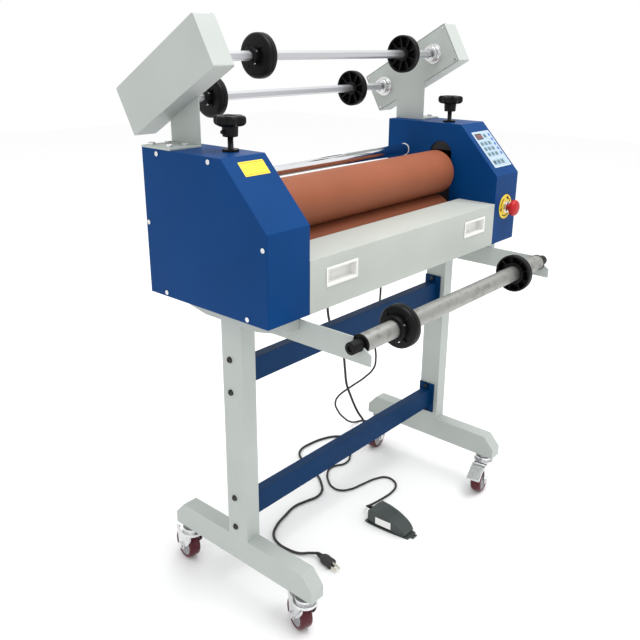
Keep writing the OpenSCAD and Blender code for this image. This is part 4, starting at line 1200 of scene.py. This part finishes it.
@dataclass
class Controls:
    """Membrane panel, blank label and emergency stop."""

    bench: Bench
    slope_run: float = 116 * MM
    slope_drop: float = 123 * MM
    stem_bore: float = 7.2 * MM
    label_x: float = 409 * MM
    first_row: float = 29.5

    def build(self) -> None:
        """Make the panel's print, the label and the stop button."""
        self.bench.softened("control_panel", Palette.FILM, "stand", 0.3 * MM)
        self._panel()
        self._label()
        self._stop()

    def _slope(self, x: float, down: float) -> Matrix:
        """Return the matrix of a spot on the sloping front, +Y up the slope and +Z outwards.

        Args:
            x: place across the machine.
            down: distance down the slope from its top edge.
        """
        low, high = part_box("housing_right")
        top = Vector((x, low.y + self.slope_run, high.z))
        turn = Matrix.Rotation(math.atan2(self.slope_drop, self.slope_run), 4, "X")
        return Matrix.Translation(top) @ turn @ Matrix.Translation((0, -down, 0))

    def _chips(self, name: str, finish: Finish, chips: Sequence[tuple[float, float, float, float]],
               lift: float = 1.2 * MM, proud: float = 0.25 * MM, radius: float = 1 * MM) -> None:
        """Make flat shapes that lie on the panel.

        Args:
            name: name of the piece.
            finish: finish of the shapes.
            chips: middle across, middle down the panel, width and length of each.
            lift: height of the surface that they lie on.
            proud: thickness.
            radius: corner radius, limited by each shape.
        """
        low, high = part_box("control_panel")
        mesh = bmesh.new()
        for across, down, width, length in chips:
            place = self._slope((low.x + high.x) / 2 + across * MM, (self.first_row + down) * MM)
            corner = min(radius, 0.45 * width * MM, 0.45 * length * MM)
            outline = Bench.round_rect(width * MM, length * MM, corner, 5)
            Bench.prism(mesh, outline, lift - 0.05 * MM, lift + proud, place)
        self.bench.piece(name, mesh, finish, "stand")

    def _panel(self) -> None:
        """Make the border, the window and the rows of keys."""
        border = [(0, 2.2, 84, 1.4), (0, 112.8, 84, 1.4), (-41.6, 57.5, 1.4, 110), (41.6, 57.5, 1.4, 110),
                  (0, 86, 82, 1.0), (24, 44, 0.7, 82)]
        self._chips("panel_border", Palette.FILM_WHITE, border, radius=0.3 * MM)
        self._chips("panel_window_frame", Palette.BLACK, [(-21, 16, 32, 18)], radius=2 * MM)
        self._chips("panel_window", Palette.DISPLAY, [(-21, 16, 28, 14)], 1.45 * MM, 0.2 * MM, 1 * MM)
        keys = [(x, y, 13, 11) for x in (-29, -10, 9) for y in (39, 56, 73)] + [(9, 16, 13, 11)]
        keys += [(x, 99, 15, 13) for x in (-28, -8, 12)]
        self._chips("panel_keys", Palette.FILM_KEY, keys, proud=0.4 * MM, radius=2.2 * MM)
        marks = [(33, y, 8, 8) for y in (14, 29, 44, 59, 74)]
        self._chips("panel_blue_keys", Palette.FILM_BLUE, marks, proud=0.5 * MM, radius=1.2 * MM)
        dots = [(x, y, 6, 1.3) for x in (-29, -10, 9) for y in (39, 73)]
        dots += [(x, 56, 1.3, 5) for x in (-29, -10, 9)] + [(9, 16, 5, 1.3), (9, 16, 1.3, 5)]
        dots += [(-28, 99, 6, 6), (-8, 99, 7, 1.6), (12, 97, 7, 1.2), (12, 101, 7, 1.2)]
        self._chips("panel_key_marks", Palette.BLACK, dots, 1.55 * MM, 0.15 * MM, 0.5 * MM)

    def _label(self) -> None:
        """Make the blank yellow label on the left slope, with a thin dark border."""
        left = -self.label_x
        mesh = bmesh.new()
        plate = Bench.round_rect(64 * MM, 32.5 * MM, 1.5 * MM)
        Bench.prism(mesh, plate, 0.0, 0.35 * MM, self._slope(left, self.first_row * MM))
        self.bench.piece("blank_label", mesh, Palette.YELLOW, "stand")
        lines = bmesh.new()
        for down in (16.5, 42.5):
            strip = Bench.round_rect(59 * MM, 0.7 * MM, 0.2 * MM, 2)
            Bench.prism(lines, strip, 0.3 * MM, 0.42 * MM, self._slope(left, down * MM))
        self.bench.piece("label_rules", lines, Palette.BLACK, "stand")

    def _stop(self) -> None:
        """Make the yellow ring, plated collar, contact block and red mushroom button."""
        centre = middle("estop_button")
        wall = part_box("housing_right")[0].y
        face = (centre.x, wall, centre.z)
        ring = [(0.0, 12 * MM), (1.5 * MM, 12 * MM), *reversed(edge_round(1.5 * MM, 32.5 * MM, -1, 0.6 * MM)),
                (0.0, 32.5 * MM)]
        self.bench.turned("stop_yellow_ring", ring, face, Axis.Y, Palette.YELLOW, "stand", ["estop_body"], flip=True)
        self._turn_marks(face)
        collar = [(0.0, self.stem_bore), *mm((0, 14), (1.5, 15), (4, 15), (5, 13.5), (8, 13.5)),
                  *reversed(edge_round(10 * MM, 15 * MM, -1, 0.8 * MM)), (10 * MM, self.stem_bore)]
        self.bench.turned("stop_collar", collar, face, Axis.Y, Palette.PLATED, "stand", segments=64, flip=True)
        block = bmesh.new()
        deep = Matrix.Translation((centre.x, wall + 23 * MM, centre.z)) @ Matrix.Rotation(-math.pi / 2, 4, "X")
        Bench.prism(block, Bench.round_rect(38 * MM, 38 * MM, 2 * MM), 0.0, 29 * MM, deep)
        barrel = [(-23.5 * MM, self.stem_bore), (-23.5 * MM, 11 * MM), (0.0, 11 * MM), (0.0, self.stem_bore)]
        Bench.turn(block, barrel, face, Axis.Y, 48, flip=True)
        self.bench.piece("stop_contact_block", block, Palette.BLACK, "stand")
        stem = [(-14, 0), (-14, 6.5), (-13, 7), (16, 7)]
        mushroom = [(16, 14), (19, 17.5), (21.5, 20.3), (23.5, 21), (28, 21), (30.6, 20.3), (33, 18.5), (34.8, 15.8),
                    (36.1, 11), (36.8, 5), (37, 0)]
        cap = mm(*stem, *mushroom)
        self.bench.turned("stop_mushroom", cap, face, Axis.Y, Palette.RED, "stop_button", ["estop_button"], flip=True,
                          sharp=40.0)

    def _turn_marks(self, face: Point) -> None:
        """Make the three dark arcs with arrow ends on the ring.

        Args:
            face: middle of the ring on the housing's wall.
        """
        arrows = bmesh.new()
        reach = 24.5 * MM
        for step in range(3):
            for part in range(9):
                turn = math.tau * (step / 3 + part / 36)
                across = (2.4 if part < 7 else 6.5 - 2.4 * (part - 7)) * MM
                spot = (face[0] + reach * math.cos(turn), face[1], face[2] + reach * math.sin(turn))
                tilt = Matrix.Rotation(math.pi / 2, 4, "X") @ Matrix.Rotation(turn, 4, "Z")
                mark = Bench.round_rect(across, 4.6 * MM, 0.4 * MM, 3)
                top = (1.62 + part * 0.01) * MM
                Bench.prism(arrows, mark, 1.45 * MM, top, Matrix.Translation(spot) @ tilt)
        self.bench.piece("stop_turn_marks", arrows, Palette.BLACK, "stand")


# ---------------------------------------------------------------- foot pedal


@dataclass
class FootPedal:
    """Cast foot pedal with its treadle and blank plate."""

    bench: Bench
    half: float = 30.5 * MM
    taper: float = 12 * MM
    length: float = 128 * MM

    def build(self) -> None:
        """Make base, treadle and the blank side plate."""
        self.bench.softened("pedal_base", Palette.CAST, "stand", 0.5 * MM, 3)
        self.bench.softened("pedal_treadle", Palette.CAST, "treadle", 0.8 * MM, 3)
        self._plate()

    def half_width(self, back: float) -> float:
        """Return the pedal's half width at a distance from its back."""
        return self.half - self.taper * (back / self.length) ** 2

    def _plate(self) -> None:
        """Make the blank plate that follows the treadle's side."""
        low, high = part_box("pedal_treadle")
        middle_x = (low.x + high.x) / 2
        back_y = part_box("pedal_base")[1].y - 8 * MM
        mesh = bmesh.new()
        edge = mm((-0.1, 11), (0.35, 11), (0.35, 31), (-0.1, 31))
        sections = []
        for step in range(9):
            back = (28 + 48 * step / 8) * MM
            side = middle_x - self.half_width(back)
            sections.append([(side - lift, back_y - back, z) for lift, z in edge])
        Bench.loft(mesh, sections)
        self.bench.piece("pedal_blank_plate", mesh, Palette.WHITE, "treadle")


# ---------------------------------------------------------------- cords


@dataclass
class Cords:
    """Mains lead and pedal lead with their glands and the plug."""

    bench: Bench
    mains_diameter: float = 7 * MM
    pedal_diameter: float = 6 * MM

    def build(self) -> None:
        """Make the cords first, then what they end in."""
        plug = self._plug()
        self._cord("mains_lead", MAINS_ROUTE, self.mains_diameter, "mains_cord")
        self._cord("pedal_lead", PEDAL_ROUTE, self.pedal_diameter, "pedal_cord")
        self._glands()

    def _cord(self, name: str, route: Sequence[Point], diameter: float, node: str) -> None:
        """Lay one cord along its route as a smooth curve.

        Args:
            name: name of the piece.
            route: chosen points in metres.
            diameter: outer diameter.
            node: CAD node that it replaces.
        """
        data = bpy.data.curves.new(name, "CURVE")
        data.dimensions = "3D"
        data.resolution_u = 8
        data.bevel_depth = diameter / 2
        data.bevel_resolution = 5
        data.use_fill_caps = True
        spline = data.splines.new("BEZIER")
        spline.bezier_points.add(len(route) - 1)
        for knot, spot in zip(spline.bezier_points, route):
            knot.co = spot
            knot.handle_left_type = knot.handle_right_type = "AUTO"
        made = bpy.data.objects.new(name, data)
        bpy.context.scene.collection.objects.link(made)
        data.materials.append(Palette.SHEATH.material())
        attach(made, "stand")
        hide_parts(node)
        bpy.context.view_layer.update()
        LOG.info("%s measures %.4f m", name, spline.calc_length())

    def _plug(self) -> list[bpy.types.Object]:
        """Make the moulded plug and its metal pins.

        Returns:
            Both pieces.
        """
        end = MAINS_ROUTE[-1]
        place = Matrix.Translation(end) @ Matrix.Rotation(math.radians(262), 4, "Z")
        body = bmesh.new()
        relief = [(0.0, 0.0), (0.0, 4.2 * MM), *relief_profile(6, 1, 3.2, 4.6, 0.55, 1.8), (21 * MM, 7.5 * MM),
                  (21 * MM, 0.0)]
        Bench.turn(body, relief, (0, 0, 0), Axis.X, 40)
        stations = [(19, 0.62), (22, 0.78), (27, 0.92), (34, 1.0), (40, 0.94), (46, 0.94), (52, 1.0), (57, 1.0),
                    (58, 0.95)]
        sections = []
        for along, share in stations:
            outline = Bench.round_rect(25 * MM * share, 20 * MM * min(1.0, share + 0.05), 6 * MM * share, 6)
            sections.append([(along * MM, y, z) for y, z in outline])
        Bench.loft(body, sections)
        body.transform(place)
        shell = self.bench.piece("moulded_plug", body, Palette.SHEATH, "stand", ["plug"], sharp=40.0)
        pins = bmesh.new()
        side = Matrix(((0, 0, 1, 0), (1, 0, 0, 0), (0, 1, 0, 0), (0, 0, 0, 1)))
        for sign in SIDES.values():
            shift = Matrix.Translation((57 * MM, sign * 6.3 * MM, -2.7 * MM))
            Bench.prism(pins, Bench.round_rect(1.5 * MM, 6.4 * MM, 0.5 * MM, 3), 0.0, 22.5 * MM, shift @ side)
        Bench.turn(pins, rod_profile(57 * MM, 79.5 * MM, 2.4 * MM, 1.2 * MM), (0, 0, 5.5 * MM), Axis.X, 24)
        pins.transform(place)
        metal = self.bench.piece("plug_pins", pins, Palette.PIN_METAL, "stand")
        return [shell, metal]

    def _glands(self) -> None:
        """Make the two glands under the machine and the pedal's strain relief."""
        mesh = bmesh.new()
        low = 35 * MM
        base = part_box("base_pan")[0].z
        for route in (MAINS_ROUTE, PEDAL_ROUTE):
            spot = route[0]
            height = base - spot[2]
            profile = [(0.0, 0.0), (0.0, 4 * MM), *relief_profile(8, 1, 4.1, 4.2, 0.45, 2.4), (low, 7.6 * MM),
                       (low, 10 * MM), (low + 1 * MM, 11 * MM), (height, 11 * MM), (height, 0.0)]
            Bench.turn(mesh, profile, spot, Axis.Z, 48)
        reach = 20 * MM
        profile = [(0.0, 0.0), (0.0, 3.4 * MM), *relief_profile(5, 0.8, 3.6, 3.8, 0.6, 2.2, (0.8, 0.6)),
                   (reach, 6.8 * MM), (reach, 0.0)]
        Bench.turn(mesh, profile, PEDAL_ROUTE[-1], Axis.Y, 40, flip=True)
        self.bench.piece("ribbed_glands", mesh, Palette.BLACK, "stand", ["cord_glands"])


# chosen points of each cord, from its gland to its far end, as the frame's source has them
MAINS_ROUTE = mm(
    (75, 182, 698), (75, 183, 640), (76, 184, 575), (84, 182, 520), (106, 173, 460), (126, 165, 410),
    (130, 162, 370), (138, 162, 322), (160, 164, 275), (200, 170, 208), (250, 182, 146), (290, 216, 87),
    (318, 253, 38), (335, 288, 8), (338, 314, 4), (320, 344, 4), (284, 366, 4), (230, 378, 4), (178, 376, 4),
    (148, 354, 4), (132, 318, 4), (112, 268, 4), (96, 230, 4), (73, 198, 4), (48, 174, 4), (16, 164, 4),
    (-20, 172, 4), (-60, 180, 4), (-110, 171, 4), (-160, 156, 4), (-194, 134, 4), (-210, 103, 4),
    (-212, 66, 4), (-205, 32, 5), (-190, 10, 8), (-180, -8, 11)
)
PEDAL_ROUTE = mm(
    (300, 172, 698), (300, 172, 640), (301, 171, 575), (302, 174, 520), (300, 180, 450), (300, 184, 385),
    (306, 184, 340), (311, 194, 302), (303, 222, 264), (278, 258, 228), (260, 288, 196), (268, 310, 160),
    (296, 322, 116), (350, 338, 62), (402, 352, 22), (438, 358, 5), (464, 348, 3), (471, 324, 3), (452, 306, 3),
    (402, 298, 3), (340, 284, 3), (290, 260, 3), (256, 236, 3), (226, 220, 3), (200, 220, 3), (178, 232, 3),
    (152, 234, 3), (126, 220, 3), (102, 196, 3), (84, 166, 3), (84, 138, 3), (106, 118, 3), (153, 106, 3),
    (204, 94, 3), (230, 76, 3), (230, 48, 3), (210, 25, 3), (176, 16, 3), (136, 17, 3), (104, 21, 3),
    (81, 22, 6), (63, 18, 14), (53, 11, 22), (50, 4, 26)
)


# ---------------------------------------------------------------- studio


@dataclass
class Studio:
    """Plain pale floor, soft light and the camera."""

    eye: Point = (-1.377, -1.0541, 1.2496)
    yaw: float = 49.73
    pitch: float = -18.98
    roll: float = 0.6
    lens: float = 41.95
    shift: tuple[float, float] = (-0.0147, -0.0356)

    def camera(self) -> None:
        """Make the camera at the viewing place."""
        yaw, pitch, roll = (math.radians(v) for v in (self.yaw, self.pitch, self.roll))
        ahead = Vector((math.sin(yaw) * math.cos(pitch), math.cos(yaw) * math.cos(pitch), math.sin(pitch)))
        right = Vector((math.cos(yaw), -math.sin(yaw), 0.0))
        up = right.cross(ahead)
        right_rolled = right * math.cos(roll) + up * math.sin(roll)
        up_rolled = up * math.cos(roll) - right * math.sin(roll)
        data = bpy.data.cameras.new("view")
        data.lens = self.lens
        data.sensor_width = 36.0
        data.shift_x, data.shift_y = self.shift
        made = bpy.data.objects.new("view", data)
        turn = Matrix((right_rolled, up_rolled, -ahead)).transposed().to_4x4()
        made.matrix_world = Matrix.Translation(self.eye) @ turn
        bpy.context.scene.collection.objects.link(made)
        bpy.context.scene.camera = made

    def floor(self) -> None:
        """Make the pale floor."""
        mesh = bmesh.new()
        half = 9.0
        corners = [mesh.verts.new((x * half, y * half, -0.0002)) for x, y in ((-1, -1), (1, -1), (1, 1), (-1, 1))]
        mesh.faces.new(corners)
        data = bpy.data.meshes.new("studio_floor")
        mesh.to_mesh(data)
        mesh.free()
        made = bpy.data.objects.new("studio_floor", data)
        bpy.context.scene.collection.objects.link(made)
        paint = bpy.data.materials.new("studio_floor_paint")
        paint.use_nodes = True
        shader = paint.node_tree.nodes["Principled BSDF"]
        shader.inputs["Base Color"].default_value = (0.97, 0.97, 0.97, 1)
        shader.inputs["Roughness"].default_value = 0.9
        shader.inputs["Specular IOR Level"].default_value = 0.1
        data.materials.append(paint)

    def lights(self) -> None:
        """Make the soft boxes and the pale surround."""
        world = bpy.data.worlds.new("studio")
        world.use_nodes = True
        world.node_tree.nodes["Background"].inputs["Color"].default_value = (1, 1, 1, 1)
        world.node_tree.nodes["Background"].inputs["Strength"].default_value = 1.0
        bpy.context.scene.world = world
        self._box("key", (0.3, -0.7, 3.7), (0, 0, 0.8), 2.2, 85)
        self._box("fill", (-3.0, -0.6, 1.6), (0, 0, 0.7), 2.0, 3)
        self._box("rim", (1.8, 2.4, 2.4), (0, 0, 0.8), 1.8, 8)
        bpy.context.scene.view_settings.view_transform = "Standard"

    @staticmethod
    def _box(name: str, place: Point, target: Point, size: float, power: float) -> None:
        """Make one square soft box.

        Args:
            name: name of the light.
            place: where it stands.
            target: point that it faces.
            size: side of the square.
            power: strength in watts.
        """
        data = bpy.data.lights.new(name, "AREA")
        data.size = size
        data.energy = power
        made = bpy.data.objects.new(name, data)
        made.location = place
        made.rotation_euler = (Vector(target) - Vector(place)).to_track_quat("-Z", "Y").to_euler()
        bpy.context.scene.collection.objects.link(made)


def main() -> None:
    """Build the whole machine around its frame."""
    logging.basicConfig(level=logging.INFO, format="%(message)s")
    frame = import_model()
    bench = Bench(frame["nodes"])
    studio = Studio()
    studio.camera()
    Cords(bench).build()
    assemblies = [Stand(bench), Casters(bench, frame["joints"]), Housings(bench), FeedTable(bench), Rollers(bench),
                  PressureKnobs(bench), UnwindHeads(bench), TakeUp(bench), Controls(bench), FootPedal(bench)]
    for assembly in assemblies:
        LOG.info("building %s", type(assembly).__name__)
        assembly.build()
    studio.floor()
    studio.lights()


if __name__ == "__main__":
    main()
